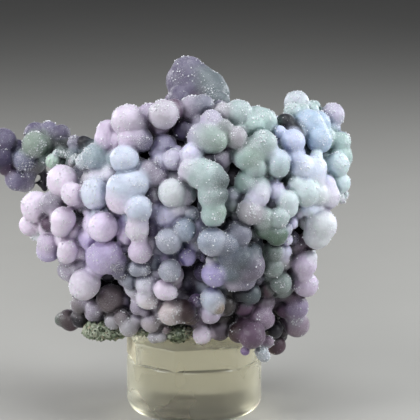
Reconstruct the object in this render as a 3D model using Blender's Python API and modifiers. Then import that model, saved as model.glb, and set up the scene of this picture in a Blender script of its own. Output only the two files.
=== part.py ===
"""Grape agate specimen on a clear acrylic stand. Metres, +Z up.

The origin is on the table under the middle of the round base, and the front looks along -Y.
"""

import math
import random

import bmesh
import bpy
from mathutils import Matrix, Vector

MM = 0.001

# Stand, in millimetres
BASE_DIAMETER = 25.4
BASE_HEIGHT = 10.5
BASE_FOOT_ROUND = 2.7
BASE_RIM_ROUND = 0.35
PLATE_CIRCUMRADIUS = 13.1
PLATE_BOTTOM = 10.8
PLATE_TOP = 14.3
PLATE_TURN_DEG = -11.0
PLATE_EDGE = 0.35
GAP = 0.3

# The grapes were read off one front view, so each has its place on an upright sheet at y = 0 and
# a distance along the line of sight to the eye. All in millimetres.
EYE = Vector((3.0, -489.07, 142.27))
EYE_RANGE = 500.0
FRONT_MIDDLE = (-0.5, 39.0)
FRONT_HALF_SIZE = 29.0
FRONT_DEPTH = 17.0
SEAT = 0.5

SKIN_VOXEL = 0.55
SKIN_SHARE = 0.05

# Left arm: x, z, radius, and distance toward the eye
LEFT_ARM = [
    (-35.4, 51.3, 2.6, -13.0), (-35.6, 48.2, 2.3, -12.0), (-33.2, 49.6, 2.3, -14.5),
    (-29.3, 52.8, 2.2, -14.5), (-26.9, 53.5, 1.65, -14.0), (-24.6, 52.8, 1.8, -12.5),
    (-22.0, 51.3, 1.2, -9.0), (-20.5, 51.1, 1.3, -8.0), (-29.5, 50.7, 2.5, -11.0),
    (-31.6, 47.9, 2.2, -11.5), (-29.4, 47.1, 1.8, -13.0), (-33.1, 44.0, 2.05, -12.5),
    (-31.5, 43.6, 1.9, -14.0), (-26.2, 47.6, 1.4, -8.5), (-25.2, 49.0, 0.9, -9.0),
    (-24.1, 48.9, 0.8, -8.5), (-22.9, 48.5, 0.9, -7.5), (-21.8, 48.2, 0.8, -6.5),
    (-22.5, 47.5, 0.9, -6.0), (-22.6, 49.4, 0.9, -8.0), (-20.4, 47.6, 1.1, -2.5),
    (-20.4, 46.6, 0.9, -1.0), (-26.5, 51.0, 2.2, -12.5), (-24.0, 50.2, 2.2, -11.5),
    (-21.5, 49.6, 2.2, -10.5), (-19.0, 49.3, 2.5, -8.5), (-27.5, 48.6, 2.0, -12.5),
    (-24.8, 47.7, 1.8, -11.0), (-22.3, 46.8, 1.8, -8.0),
]

# The body: x, z, radius, and how far the grape stands out of the rounded front
UPPER_LEFT = [
    (-24.5, 43.9, 3.0, 0.0), (-22.6, 41.3, 2.2, 0.8), (-26.3, 39.6, 2.4, -2.0),
    (-29.4, 38.9, 3.0, 2.0), (-30.7, 35.4, 2.05, 1.5), (-29.0, 34.8, 1.6, 0.0),
    (-29.8, 33.1, 0.7, 1.0), (-27.3, 32.0, 2.1, 0.5), (-27.3, 30.6, 2.3, 0.5),
    (-24.4, 36.5, 2.4, 1.5), (-24.9, 34.9, 1.9, 1.5), (-23.6, 31.0, 1.95, 1.0),
    (-23.8, 29.9, 1.9, 1.0), (-23.5, 26.7, 2.1, -4.0), (-17.5, 43.6, 2.9, -4.5),
    (-15.9, 53.3, 2.15, -2.0), (-16.4, 51.6, 2.2, -2.0), (-12.2, 55.3, 3.0, -1.5),
    (-12.2, 51.7, 1.9, 0.0), (-9.9, 51.6, 2.3, -1.0), (-5.6, 56.4, 2.8, 0.0),
    (-8.0, 56.3, 2.3, -3.0), (-6.5, 55.0, 2.6, -4.0), (-5.2, 50.5, 1.9, -4.0),
    (-7.1, 49.2, 1.3, -2.0), (-1.9, 53.4, 2.0, -4.5), (-3.9, 47.9, 2.05, -1.0),
    (-12.9, 47.9, 2.75, 1.0), (-8.3, 45.3, 2.7, -2.0), (-13.4, 42.4, 3.05, 2.0),
    (-10.9, 43.2, 2.6, 1.5), (-13.6, 40.4, 2.9, 2.0), (-18.6, 41.9, 2.5, 0.5),
    (-18.4, 40.9, 2.6, 0.5), (-4.0, 41.6, 2.75, 1.0), (-18.9, 48.1, 2.2, -4.0),
    (-17.2, 49.2, 2.1, -4.0), (-15.5, 46.2, 2.0, -3.5),
]
TOP = [
    (-1.7, 62.6, 3.5, -12.0), (-1.1, 64.2, 3.2, -12.0), (-1.0, 60.0, 3.6, -12.5),
    (2.5, 61.2, 3.6, -12.0), (3.6, 60.2, 3.1, -11.5), (-0.2, 57.6, 2.3, -5.0),
    (1.3, 58.0, 1.7, -6.0), (3.2, 55.3, 2.0, -0.5), (5.2, 53.6, 2.0, 0.5),
    (0.9, 52.0, 2.2, -1.0), (3.6, 51.6, 2.5, 1.0), (7.8, 52.2, 1.95, 0.5),
    (9.7, 48.5, 2.6, 0.0), (9.8, 43.6, 2.3, -1.0), (8.3, 56.4, 2.6, -2.5),
    (11.2, 54.4, 2.0, -1.5), (12.9, 55.0, 2.6, -2.5), (11.2, 56.2, 1.8, -4.0),
    (-0.8, 48.5, 2.0, -1.0), (-1.2, 45.4, 1.8, 0.0), (3.0, 44.5, 3.0, 2.5),
    (3.3, 41.0, 2.6, 2.5), (3.6, 37.4, 2.3, 2.5), (12.9, 50.9, 2.6, 1.0),
    (11.6, 46.5, 2.2, 0.0), (12.4, 43.4, 1.7, -0.5), (12.1, 40.9, 2.1, 1.0),
    (5.0, 48.3, 2.2, -1.5), (6.0, 56.9, 1.6, -6.0),
]
RIGHT = [
    (18.9, 58.5, 2.2, -5.0), (18.1, 56.9, 1.4, -4.0), (22.3, 57.8, 1.3, -4.0),
    (25.7, 56.4, 2.2, -4.0), (21.3, 54.4, 3.0, -1.0), (23.5, 51.6, 2.2, 0.0),
    (25.5, 53.2, 1.8, -2.5), (27.3, 51.4, 1.9, -3.0), (27.3, 48.9, 2.1, -3.0),
    (26.5, 47.0, 2.3, -2.5), (27.0, 43.6, 2.1, -2.5), (28.0, 41.2, 0.9, -2.5),
    (27.6, 40.2, 0.7, -2.5), (18.4, 51.3, 2.35, 0.5), (16.0, 53.2, 1.2, -1.5),
    (17.0, 55.0, 1.6, -4.0), (15.7, 47.6, 2.3, 1.0), (15.7, 46.6, 2.2, 1.0),
    (18.7, 48.2, 1.9, 0.0), (19.9, 46.3, 2.2, 0.5), (22.4, 46.2, 2.4, 1.0),
    (22.8, 48.7, 1.2, 0.5), (15.3, 41.9, 1.8, -1.0), (17.4, 39.9, 2.2, 1.5),
    (17.6, 38.6, 1.8, 1.5), (15.9, 36.9, 2.0, 2.0), (15.5, 33.7, 2.2, 1.0),
    (15.2, 30.4, 1.85, -0.5), (16.3, 30.0, 1.8, -1.5), (14.8, 27.4, 2.1, -0.5),
    (16.4, 24.3, 2.1, 0.5), (20.8, 41.7, 2.8, 1.5), (24.7, 40.9, 2.6, 1.0),
    (23.7, 35.4, 3.1, 2.5), (23.0, 33.4, 2.6, 2.0), (18.3, 37.0, 1.0, -2.5),
    (19.7, 37.7, 1.1, -3.0), (19.0, 31.5, 2.2, -4.0), (18.3, 33.0, 1.4, -3.0),
    (20.7, 27.9, 2.4, 0.5), (22.0, 29.2, 1.2, 0.5), (21.0, 24.0, 2.4, 1.0),
    (19.2, 19.6, 2.4, 0.5), (19.3, 16.3, 2.5, 3.0), (22.5, 43.8, 1.8, 0.0),
    (17.2, 19.5, 2.0, -3.0), (18.3, 21.9, 1.7, -2.5), (16.3, 15.6, 2.0, -1.0),
]
MIDDLE = [
    (-10.3, 38.6, 2.6, 3.0), (-10.6, 34.7, 2.3, 2.5), (-10.1, 30.4, 2.35, 2.5),
    (-17.1, 35.1, 2.9, 2.0), (-17.1, 29.2, 3.2, 2.0), (-15.7, 30.0, 2.35, 1.5),
    (-14.2, 28.2, 1.9, 0.5), (-14.0, 26.3, 1.4, 0.5), (-19.5, 33.0, 2.3, -2.5),
    (-12.6, 33.5, 1.8, -2.5), (-13.0, 36.0, 1.4, -2.5), (-10.8, 27.1, 1.6, 0.5),
    (-9.3, 26.9, 1.2, 0.5), (-12.4, 25.2, 1.6, -0.5), (-12.0, 24.0, 1.1, -0.5),
    (-19.8, 38.0, 1.0, -3.0), (-21.0, 38.2, 1.0, -4.0), (-4.8, 37.0, 2.3, -2.0),
    (-4.7, 32.4, 2.5, 2.5), (-1.7, 34.5, 2.2, 1.5), (-1.35, 29.2, 1.65, -4.0),
    (-4.55, 26.7, 2.2, 2.5), (-0.6, 37.4, 1.5, -3.0), (-7.3, 41.3, 1.7, -2.0),
    (-7.3, 37.0, 1.5, -4.0), (3.5, 32.2, 2.8, 3.0), (5.9, 31.7, 2.6, 2.0),
    (8.4, 33.6, 2.5, 1.5), (4.7, 29.5, 1.3, 0.5), (3.1, 28.7, 0.9, 0.5),
    (1.9, 29.2, 1.0, -1.5), (3.9, 26.1, 2.6, 1.5), (7.0, 27.0, 2.6, 2.0),
    (10.4, 27.6, 3.0, 2.5), (9.3, 25.3, 2.5, 1.5), (10.8, 30.2, 2.0, 1.0),
    (10.5, 38.0, 2.5, 1.5), (12.9, 36.8, 2.3, 1.0), (13.3, 34.7, 2.0, 0.0),
    (7.4, 41.3, 1.4, -3.0), (7.3, 39.3, 1.4, -3.0),
]
LOWER = [
    (-20.7, 23.8, 2.85, 1.0), (-20.9, 24.3, 2.5, -3.5), (-21.6, 19.9, 1.6, -2.5),
    (-23.3, 17.0, 2.0, -1.5), (-25.0, 17.2, 1.3, -2.0), (-21.4, 17.4, 1.8, 0.0),
    (-18.8, 18.5, 1.8, -3.0), (-15.5, 20.9, 2.5, -5.0),
    (-15.3, 16.9, 1.6, -0.5), (-12.3, 15.6, 1.7, 0.0), (-10.6, 19.6, 1.5, -2.0),
    (-9.3, 18.7, 0.9, -1.5), (-10.9, 17.1, 1.3, -1.5), (-8.1, 16.6, 1.9, -0.5),
    (-8.9, 24.0, 2.2, 0.5), (-9.0, 21.4, 2.1, 1.0), (-5.7, 23.0, 1.95, 2.5),
    (-4.6, 22.5, 1.5, 2.5), (-4.4, 18.6, 2.5, 2.0), (-2.7, 18.8, 2.2, 0.5),
    (-7.5, 13.8, 1.25, 1.0), (-6.2, 13.8, 1.15, 1.0), (-5.2, 15.2, 0.9, 0.0),
    (1.6, 14.3, 1.9, 1.3), (4.8, 15.2, 2.1, 0.5), (3.5, 20.9, 2.25, 1.5),
    (3.2, 18.4, 1.95, 1.5), (5.9, 19.7, 1.8, -0.5), (0.4, 20.4, 1.1, -4.0),
    (10.7, 22.0, 1.8, -0.5), (9.5, 19.4, 1.9, -2.5), (13.2, 20.6, 2.1, -1.5),
    (13.2, 17.3, 2.0, 2.0), (10.9, 14.2, 2.6, 7.0), (8.4, 14.7, 2.0, 3.5),
    (13.9, 12.9, 1.2, 9.6), (15.5, 12.3, 1.9, 3.0), (9.6, 11.1, 0.9, 12.0),
    (12.0, 13.4, 1.5, 7.0), (12.7, 11.0, 1.3, 10.0), (13.2, 10.1, 1.2, 9.8),
]

BODY = UPPER_LEFT + TOP + RIGHT + MIDDLE + LOWER

# Rounded lumps that the grapes grew from: middle and half sizes, in millimetres
CORES = [
    ((0.5, 1.0, 40.0), (22.0, 12.0, 17.0)),
    ((-13.0, 1.0, 37.0), (14.0, 8.5, 12.5)),
    ((15.0, 1.0, 44.0), (11.5, 7.5, 11.5)),
    ((6.0, 0.0, 27.5), (14.0, 10.0, 11.0)),
    ((-3.0, 0.5, 22.5), (13.0, 8.5, 7.6)),
    ((-16.5, 3.5, 22.5), (6.0, 5.0, 6.5)),
    ((0.5, 3.0, 57.0), (5.5, 4.0, 6.0)),
]

# Green crust low on the left, and the crumbs along its edge
CRUST = [
    ((-17.8, -1.5, 15.4), (2.9, 2.6, 1.6)),
    ((-14.6, 0.5, 16.6), (3.4, 3.4, 1.5)),
    ((-9.0, 0.0, 16.6), (5.0, 6.0, 1.9)),
    ((-3.0, -5.5, 16.4), (2.6, 3.0, 1.75)),
    ((6.0, 0.0, 17.0), (7.0, 7.0, 2.3)),
]

# Grapes that the front hides: over the shoulders, and on the far side. None stands closer to
# another than this share of their two radii.
SEED = 11
ROOM = 0.80
HIDDEN_RADIUS = 2.8
HIDDEN_SPREAD = 0.25
SHOULDER_TRIES = 5000
SHOULDER_BAND = 2.5
SHOULDER_FROM = Vector((-32.0, -13.0, 14.0))
SHOULDER_TO = Vector((29.0, 8.0, 58.0))
FAR_TRIES = 2500
FAR_MIDDLE = Vector((1.0, 1.0, 38.0))
FAR_HALF_SIZES = Vector((24.5, 17.0, 20.5))


def new_material(name, colour, roughness, transmission=0.0, ior=1.5):
    """A plain surface with its colour and finish."""
    material = bpy.data.materials.new(name)
    material.use_nodes = True
    shader = material.node_tree.nodes["Principled BSDF"]
    shader.inputs["Base Color"].default_value = (*colour, 1.0)
    shader.inputs["Roughness"].default_value = roughness
    shader.inputs["Metallic"].default_value = 0.0
    shader.inputs["Transmission Weight"].default_value = transmission
    shader.inputs["IOR"].default_value = ior
    material.diffuse_color = (*colour, 1.0)
    return material


def new_object(name, mesh, collection, material=None):
    """An object of its own in the named collection."""
    obj = bpy.data.objects.new(name, mesh)
    collection.objects.link(obj)
    if material:
        mesh.materials.append(material)
    return obj


def front_depth(x, z):
    """How far the rounded front stands before the sheet, at a point of the front view."""
    u = (x - FRONT_MIDDLE[0]) / FRONT_HALF_SIZE
    v = (z - FRONT_MIDDLE[1]) / FRONT_HALF_SIZE
    return FRONT_DEPTH * math.sqrt(max(0.0, 1.0 - u * u - v * v))


def seen_at(x, z, radius, toward):
    """Centre and true radius of a grape seen at this place of the front view."""
    on_sheet = Vector((x, 0.0, z))
    centre = on_sheet + (EYE - on_sheet).normalized() * toward
    return centre, radius * (1.0 - toward / EYE_RANGE)


def grape_at(x, z, radius, out):
    """A grape of the body, standing out of the rounded front."""
    return seen_at(x, z, radius, front_depth(x, z) - SEAT * radius + out)


def ball_mesh(subdivisions):
    """A ball of radius 1, which every grape and lump is a copy of."""
    bm = bmesh.new()
    bmesh.ops.create_icosphere(bm, subdivisions=subdivisions, radius=1.0)
    mesh = bpy.data.meshes.new("ball")
    bm.to_mesh(mesh)
    bm.free()
    return mesh


def add_ball(bm, ball, centre, half_sizes):
    """A ball or an egg, its place and half sizes in millimetres."""
    copy = ball.copy()
    copy.transform(Matrix.Translation(centre * MM) @ Matrix.Diagonal((*(half_sizes * MM), 1.0)))
    bm.from_mesh(copy)
    bpy.data.meshes.remove(copy)


def on_the_sheet(centre):
    """Where a point in space is seen on the upright sheet."""
    share = EYE.y / (EYE.y - centre.y)
    return EYE + (centre - EYE) * share


def within_outline(x, z):
    """Whether the body of the stone lies on all four sides of this place of the front view."""
    left = right = above = below = False
    for gx, gz, radius, _ in BODY:
        across = radius * radius - (z - gz) ** 2
        if across > 0.0:
            left = left or gx - math.sqrt(across) <= x
            right = right or gx + math.sqrt(across) >= x
        along = radius * radius - (x - gx) ** 2
        if along > 0.0:
            below = below or gz - math.sqrt(along) <= z
            above = above or gz + math.sqrt(along) >= z
    return left and right and above and below


def hidden(centre, radius):
    """Whether a grape stays behind the outline of the front."""
    seen = on_the_sheet(centre)
    turns = [i * math.pi / 4 for i in range(8)]
    return all(
        within_outline(seen.x + radius * math.cos(turn), seen.z + radius * math.sin(turn))
        for turn in turns
    )


def has_room(centre, radius, grapes):
    """Whether a grape stands clear enough of those already there."""
    return all((centre - other).length > ROOM * (radius + size) for other, size in grapes)


def shoulder_grapes(dice, grapes):
    """Grapes just inside the outline, behind the ones seen from the front."""
    found = []
    for _ in range(SHOULDER_TRIES):
        centre = Vector([dice.uniform(a, b) for a, b in zip(SHOULDER_FROM, SHOULDER_TO)])
        radius = HIDDEN_RADIUS * dice.uniform(1.0 - HIDDEN_SPREAD, 1.0 + HIDDEN_SPREAD)
        if not has_room(centre, radius, grapes + found):
            continue
        seen = on_the_sheet(centre)
        if -centre.y > front_depth(seen.x, seen.z) - 1.6 * radius:
            continue
        inset = radius + 0.02 * (centre.y + 3.0) ** 2
        if hidden(centre, inset) and not hidden(centre, inset + SHOULDER_BAND):
            found.append((centre, radius))
    return found


def far_grapes(dice, grapes):
    """Grapes over the far side, drawn in wherever the front would not hide them."""
    found = []
    for _ in range(FAR_TRIES):
        way = Vector([dice.gauss(0.0, 1.0) for _ in range(3)]).normalized()
        radius = HIDDEN_RADIUS * dice.uniform(1.0 - HIDDEN_SPREAD, 1.0 + HIDDEN_SPREAD)
        if way.y < -0.1:
            continue
        centre = FAR_MIDDLE + way * FAR_HALF_SIZES * dice.uniform(0.95, 1.05)
        for _ in range(8):
            if hidden(centre, radius):
                break
            centre = FAR_MIDDLE + (centre - FAR_MIDDLE) * 0.95
        if hidden(centre, radius) and has_room(centre, radius, grapes + found):
            found.append((centre, radius))
    return found


def lifted(centre, radius):
    """A grape over the plate stands on it instead of sinking through it."""
    if math.hypot(centre.x, centre.y) > PLATE_CIRCUMRADIUS + radius:
        return centre
    return Vector((centre.x, centre.y, max(centre.z, PLATE_TOP + GAP + 0.9 * radius)))


def outer_skin_only(mesh):
    """Keeps the outside of the largest piece, so that no pocket is left shut inside."""
    bm = bmesh.new()
    bm.from_mesh(mesh)
    bm.faces.ensure_lookup_table()
    unseen = set(bm.faces)
    groups = []
    while unseen:
        start = unseen.pop()
        group = [start]
        waiting = [start]
        while waiting:
            face = waiting.pop()
            for edge in face.edges:
                for other in edge.link_faces:
                    if other in unseen:
                        unseen.remove(other)
                        group.append(other)
                        waiting.append(other)
        groups.append(group)
    groups.sort(key=len, reverse=True)
    loose = [face for group in groups[1:] for face in group]
    bmesh.ops.delete(bm, geom=loose, context="FACES")
    bmesh.ops.delete(bm, geom=[v for v in bm.verts if not v.link_faces], context="VERTS")
    bm.to_mesh(mesh)
    bm.free()


def evaluated_mesh(obj):
    """The object's mesh with its modifiers carried out."""
    graph = bpy.context.evaluated_depsgraph_get()
    return bpy.data.meshes.new_from_object(obj.evaluated_get(graph))


def make_agate(parts, cutters):
    """The grapes, the lumps under them and the crust, grown together in one skin."""
    grape_ball = ball_mesh(3)
    lump_ball = ball_mesh(5)
    bm = bmesh.new()
    dice = random.Random(SEED)
    grapes = [seen_at(*grape) for grape in LEFT_ARM] + [grape_at(*grape) for grape in BODY]
    grapes += shoulder_grapes(dice, grapes)
    grapes += far_grapes(dice, grapes)
    for centre, radius in grapes:
        add_ball(bm, grape_ball, lifted(centre, radius), Vector((radius, radius, radius)))
    for centre, half_sizes in CORES + CRUST:
        add_ball(bm, lump_ball, Vector(centre), Vector(half_sizes))
    lumps = bpy.data.meshes.new("grape_lumps")
    bm.to_mesh(lumps)
    bm.free()
    bpy.data.meshes.remove(grape_ball)
    bpy.data.meshes.remove(lump_ball)

    raw = new_object("grape_lumps", lumps, cutters)
    skin = raw.modifiers.new("Grown together", "REMESH")
    skin.mode = "VOXEL"
    skin.voxel_size = SKIN_VOXEL * MM
    thin = raw.modifiers.new("Coarser facets", "DECIMATE")
    thin.ratio = SKIN_SHARE
    mesh = evaluated_mesh(raw)
    mesh.name = "grape_agate"
    outer_skin_only(mesh)
    mesh.shade_smooth()
    mesh.set_sharp_from_angle(angle=math.radians(55.0))
    bpy.data.objects.remove(raw)
    bpy.data.meshes.remove(lumps)

    material = new_material("Agate", (0.50, 0.46, 0.56), 0.42)
    agate = new_object("grape_agate", mesh, parts, material)
    rest = agate.modifiers.new("Resting place", "BOOLEAN")
    rest.operation = "DIFFERENCE"
    rest.object = bpy.data.objects["stand_clearance"]
    return agate


def prism(name, radius, bottom, top, collection, material=None):
    """An upright eight-sided plate; the turn puts a corner left of the front."""
    bm = bmesh.new()
    height = (top - bottom) * MM
    bmesh.ops.create_cone(
        bm, cap_ends=True, segments=8, radius1=radius * MM, radius2=radius * MM, depth=height
    )
    turn = Matrix.Rotation(math.radians(-90.0 + PLATE_TURN_DEG), 3, "Z")
    bmesh.ops.rotate(bm, verts=bm.verts, matrix=turn)
    mesh = bpy.data.meshes.new(name)
    bm.to_mesh(mesh)
    bm.free()
    obj = new_object(name, mesh, collection, material)
    obj.location.z = (bottom + top) / 2 * MM
    return obj


def make_plate(parts, material):
    """The clear plate that the stone rests on."""
    plate = prism("stand_plate", PLATE_CIRCUMRADIUS, PLATE_BOTTOM, PLATE_TOP, parts, material)
    edge = plate.modifiers.new("Polished edge", "BEVEL")
    edge.width = PLATE_EDGE * MM
    edge.segments = 2
    edge.limit_method = "ANGLE"
    return plate


def make_base(parts, material):
    """The round base: a turned profile with a well rounded foot."""
    radius = BASE_DIAMETER / 2
    outline = [(0.0, BASE_HEIGHT)]
    for i in range(3):
        angle = math.radians(90.0 - 45.0 * i)
        outline.append(
            (
                radius - BASE_RIM_ROUND + BASE_RIM_ROUND * math.cos(angle),
                BASE_HEIGHT - BASE_RIM_ROUND + BASE_RIM_ROUND * math.sin(angle),
            )
        )
    for i in range(6):
        angle = math.radians(-18.0 * i)
        outline.append(
            (
                radius - BASE_FOOT_ROUND + BASE_FOOT_ROUND * math.cos(angle),
                BASE_FOOT_ROUND + BASE_FOOT_ROUND * math.sin(angle),
            )
        )
    outline.append((0.0, 0.0))
    bm = bmesh.new()
    verts = [bm.verts.new((x * MM, 0.0, z * MM)) for x, z in outline]
    for first, second in zip(verts, verts[1:]):
        bm.edges.new((first, second))
    mesh = bpy.data.meshes.new("stand_base")
    bm.to_mesh(mesh)
    bm.free()
    base = new_object("stand_base", mesh, parts, material)
    turned = base.modifiers.new("Turned", "SCREW")
    turned.steps = 40
    turned.render_steps = 40
    turned.use_merge_vertices = True
    turned.merge_threshold = 0.00001
    turned.use_smooth_shade = True
    shading = base.modifiers.new("Even shading", "WEIGHTED_NORMAL")
    shading.keep_sharp = True
    return base


def main():
    for obj in list(bpy.data.objects):
        bpy.data.objects.remove(obj)
    parts = bpy.data.collections.new("grape_agate")
    cutters = bpy.data.collections.new("cutters")
    bpy.context.scene.collection.children.link(parts)
    bpy.context.scene.collection.children.link(cutters)

    clearance = prism(
        "stand_clearance",
        PLATE_CIRCUMRADIUS + 1.08 * GAP,
        PLATE_BOTTOM - 2.0,
        PLATE_TOP + GAP,
        cutters,
    )
    clearance.hide_render = True
    clearance.display_type = "WIRE"

    acrylic = new_material("Clear acrylic", (0.93, 0.93, 0.86), 0.05, 1.0, 1.49)
    make_base(parts, acrylic)
    make_plate(parts, acrylic)
    make_agate(parts, cutters)


main()
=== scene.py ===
import math
import random
import time

import bmesh
import bpy
import numpy as np
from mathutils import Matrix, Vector, noise


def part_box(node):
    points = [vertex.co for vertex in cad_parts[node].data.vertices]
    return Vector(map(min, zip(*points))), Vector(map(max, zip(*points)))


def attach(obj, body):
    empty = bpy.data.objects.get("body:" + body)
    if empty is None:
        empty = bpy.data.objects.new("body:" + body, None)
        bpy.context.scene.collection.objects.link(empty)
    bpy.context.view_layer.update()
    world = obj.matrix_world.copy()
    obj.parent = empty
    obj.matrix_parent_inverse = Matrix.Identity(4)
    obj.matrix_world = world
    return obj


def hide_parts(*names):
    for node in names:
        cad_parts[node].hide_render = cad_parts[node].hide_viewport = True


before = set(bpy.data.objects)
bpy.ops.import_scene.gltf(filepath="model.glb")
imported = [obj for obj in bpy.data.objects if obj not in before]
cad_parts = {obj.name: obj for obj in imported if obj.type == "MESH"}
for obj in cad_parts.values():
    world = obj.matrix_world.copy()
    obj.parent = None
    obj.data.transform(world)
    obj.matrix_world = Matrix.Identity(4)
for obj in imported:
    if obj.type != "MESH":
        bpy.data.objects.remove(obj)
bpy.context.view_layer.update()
mm = 0.001
started = time.time()


def stage(words):
    print(f"[{time.time() - started:5.1f} s] {words}")


# Object and mesh helpers. Points are in mm.
def addObject(name, data):
    thing = bpy.data.objects.new(name, data)
    bpy.context.scene.collection.objects.link(thing)
    return thing


def aimAt(thing, place, target):
    thing.location = Vector(place) * mm
    way = Vector(target) * mm - thing.location
    thing.rotation_euler = way.to_track_quat("-Z", "Y").to_euler()


def pointsOf(mesh):
    points = np.zeros(len(mesh.vertices) * 3, np.float32)
    mesh.vertices.foreach_get("co", points)
    return points.reshape(-1, 3).astype(np.float64) / mm


def setPoints(mesh, points):
    mesh.vertices.foreach_set("co", (points * mm).astype(np.float32).ravel())
    mesh.update()


def meshFromArrays(name, points, faces):
    mesh = bpy.data.meshes.new(name)
    mesh.vertices.add(len(points))
    mesh.vertices.foreach_set("co", (points * mm).astype(np.float32).ravel())
    corners = faces.shape[1]
    mesh.loops.add(faces.size)
    mesh.loops.foreach_set("vertex_index", faces.astype(np.int32).ravel())
    mesh.polygons.add(len(faces))
    mesh.polygons.foreach_set("loop_start", np.arange(0, faces.size, corners, dtype=np.int32))
    mesh.update(calc_edges=True)
    mesh.validate()
    return mesh


def meshFromBmesh(name, bm):
    mesh = bpy.data.meshes.new(name)
    bm.to_mesh(mesh)
    bm.free()
    return mesh


# The object's mesh with its modifiers applied. The object itself goes.
def appliedMesh(thing, name):
    before = thing.data
    graph = bpy.context.evaluated_depsgraph_get()
    mesh = bpy.data.meshes.new_from_object(thing.evaluated_get(graph))
    mesh.name = name
    bpy.data.objects.remove(thing)
    bpy.data.meshes.remove(before)
    return mesh


def repeatedFaces(faces, count, pointCount):
    return (faces[None] + np.arange(count)[:, None, None] * pointCount).reshape(-1, 3)


def setTint(mesh, shades):
    layer = mesh.color_attributes.new("tint", "FLOAT_COLOR", "POINT")
    rgba = np.concatenate([shades, np.ones((len(shades), 1))], axis=1)
    layer.data.foreach_set("color", rgba.astype(np.float32).ravel())


def setAmount(mesh, name, amounts):
    layer = mesh.attributes.new(name, "FLOAT", "POINT")
    layer.data.foreach_set("value", amounts.astype(np.float32))


def noiseAt(points, scale):
    return np.array([noise.noise(Vector(point) / scale) for point in points.tolist()])


# Material helpers
def newMaterial(name, sockets):
    material = bpy.data.materials.new(name)
    material.use_nodes = True
    tree = material.node_tree
    shader = tree.nodes["Principled BSDF"]
    for socket, value in sockets.items():
        shader.inputs[socket].default_value = value
    return material, tree, shader


def addNode(tree, kind, **values):
    node = tree.nodes.new(kind)
    for key, value in values.items():
        if hasattr(node, key):
            setattr(node, key, value)
        else:
            node.inputs[key].default_value = value
    return node


def link(tree, source, output, target, slot):
    tree.links.new(source.outputs[output], target.inputs[slot])


def textureNode(tree, kind, **values):
    place = addNode(tree, "ShaderNodeNewGeometry")
    texture = addNode(tree, kind, **values)
    link(tree, place, "Position", texture, "Vector")
    return texture


def noiseNode(tree, scale, detail=2.0, roughness=0.5):
    return textureNode(tree, "ShaderNodeTexNoise", Scale=scale, Detail=detail, Roughness=roughness)


def rangeNode(tree, source, fromSpan, toSpan, way="LINEAR"):
    node = addNode(tree, "ShaderNodeMapRange", interpolation_type=way)
    for socket, value in zip(("From Min", "From Max", "To Min", "To Max"), (*fromSpan, *toSpan)):
        node.inputs[socket].default_value = value
    link(tree, source, "Fac", node, "Value")
    return node


def rampNode(tree, source, span, tints):
    node = addNode(tree, "ShaderNodeValToRGB")
    for stop, place, tint in zip(node.color_ramp.elements, span, tints):
        stop.position = place
        stop.color = (*tint, 1.0)
    link(tree, source, "Fac", node, "Fac")
    return node


def scaleNode(tree, source, factor):
    node = addNode(tree, "ShaderNodeVectorMath", operation="SCALE")
    link(tree, source, 0, node, 0)
    link(tree, factor, "Result", node, "Scale")
    return node


def timesPlusNode(tree, source, output, factor):
    node = addNode(tree, "ShaderNodeMath", operation="MULTIPLY_ADD")
    node.inputs[1].default_value = factor
    link(tree, source, output, node, 0)
    return node


def addBump(tree, shader, source, strength, distance):
    bump = addNode(tree, "ShaderNodeBump", Strength=strength, Distance=distance)
    link(tree, source, 0, bump, "Height")
    link(tree, bump, "Normal", shader, "Normal")


# Camera at the photo's angle, 12 degrees above the table. Places in mm.
photoCamera = {
    "eye": (3.0, -489.07, 142.27),
    "target": (3.0, 0.0, 38.313),
    "range": 500.0,
    "lens": 229.5,
    "sensor": 36.0,
    "clip": (0.01, 20.0),  # metres
}


def makeCamera():
    data = bpy.data.cameras.new("photoCamera")
    data.lens = photoCamera["lens"]
    data.sensor_width = photoCamera["sensor"]
    data.clip_start, data.clip_end = photoCamera["clip"]
    camera = addObject("photoCamera", data)
    aimAt(camera, photoCamera["eye"], photoCamera["target"])
    bpy.context.scene.camera = camera


# Lights: a soft box on either side, one overhead, one in front and two behind. Places and sizes in mm.
studio = {
    "boxes": {
        "leftBox": {"at": (-290, -150, 200), "size": 170, "watts": 0.78, "tint": (0.96, 0.98, 1.0)},
        "rightBox": {"at": (280, -60, 180), "size": 170, "watts": 0.74, "tint": (0.93, 0.97, 1.0)},
        "topBox": {"at": (10, -20, 320), "size": 150, "watts": 0.37, "tint": (0.94, 0.97, 1.0)},
        "frontBox": {"at": (-60, -420, 260), "size": 150, "watts": 0.56, "tint": (0.94, 0.97, 1.0)},
        "backLeftBox": {"at": (-270, 210, 150), "size": 120, "watts": 0.55, "tint": (0.97, 0.98, 1.0)},
        "backRightBox": {"at": (270, 230, 150), "size": 120, "watts": 0.55, "tint": (0.94, 0.97, 1.0)},
    },
    "target": (0, 0, 38),
    "room": (0.78, 0.80, 0.86),
    "roomStrength": 0.07,
}


def makeStudio():
    for name, box in studio["boxes"].items():
        data = bpy.data.lights.new(name, "AREA")
        data.shape = "DISK"
        data.size = box["size"] * mm
        data.energy = box["watts"]
        data.color = box["tint"]
        aimAt(addObject(name, data), box["at"], studio["target"])
    world = bpy.data.worlds.new("studioRoom")
    world.use_nodes = True
    background = world.node_tree.nodes["Background"]
    background.inputs["Color"].default_value = (*studio["room"], 1.0)
    background.inputs["Strength"].default_value = studio["roomStrength"]
    bpy.context.scene.world = world
    bpy.context.scene.view_settings.view_transform = "Standard"


# Pale table, a hair under the foot so that their faces don't share a plane
table = {
    "tint": (0.40, 0.39, 0.365),
    "darker": 0.96,
    "grainScale": 60.0,
    "roughness": 0.6,
    "size": 6.0,  # metres
    "gap": 0.05,
}


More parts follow.
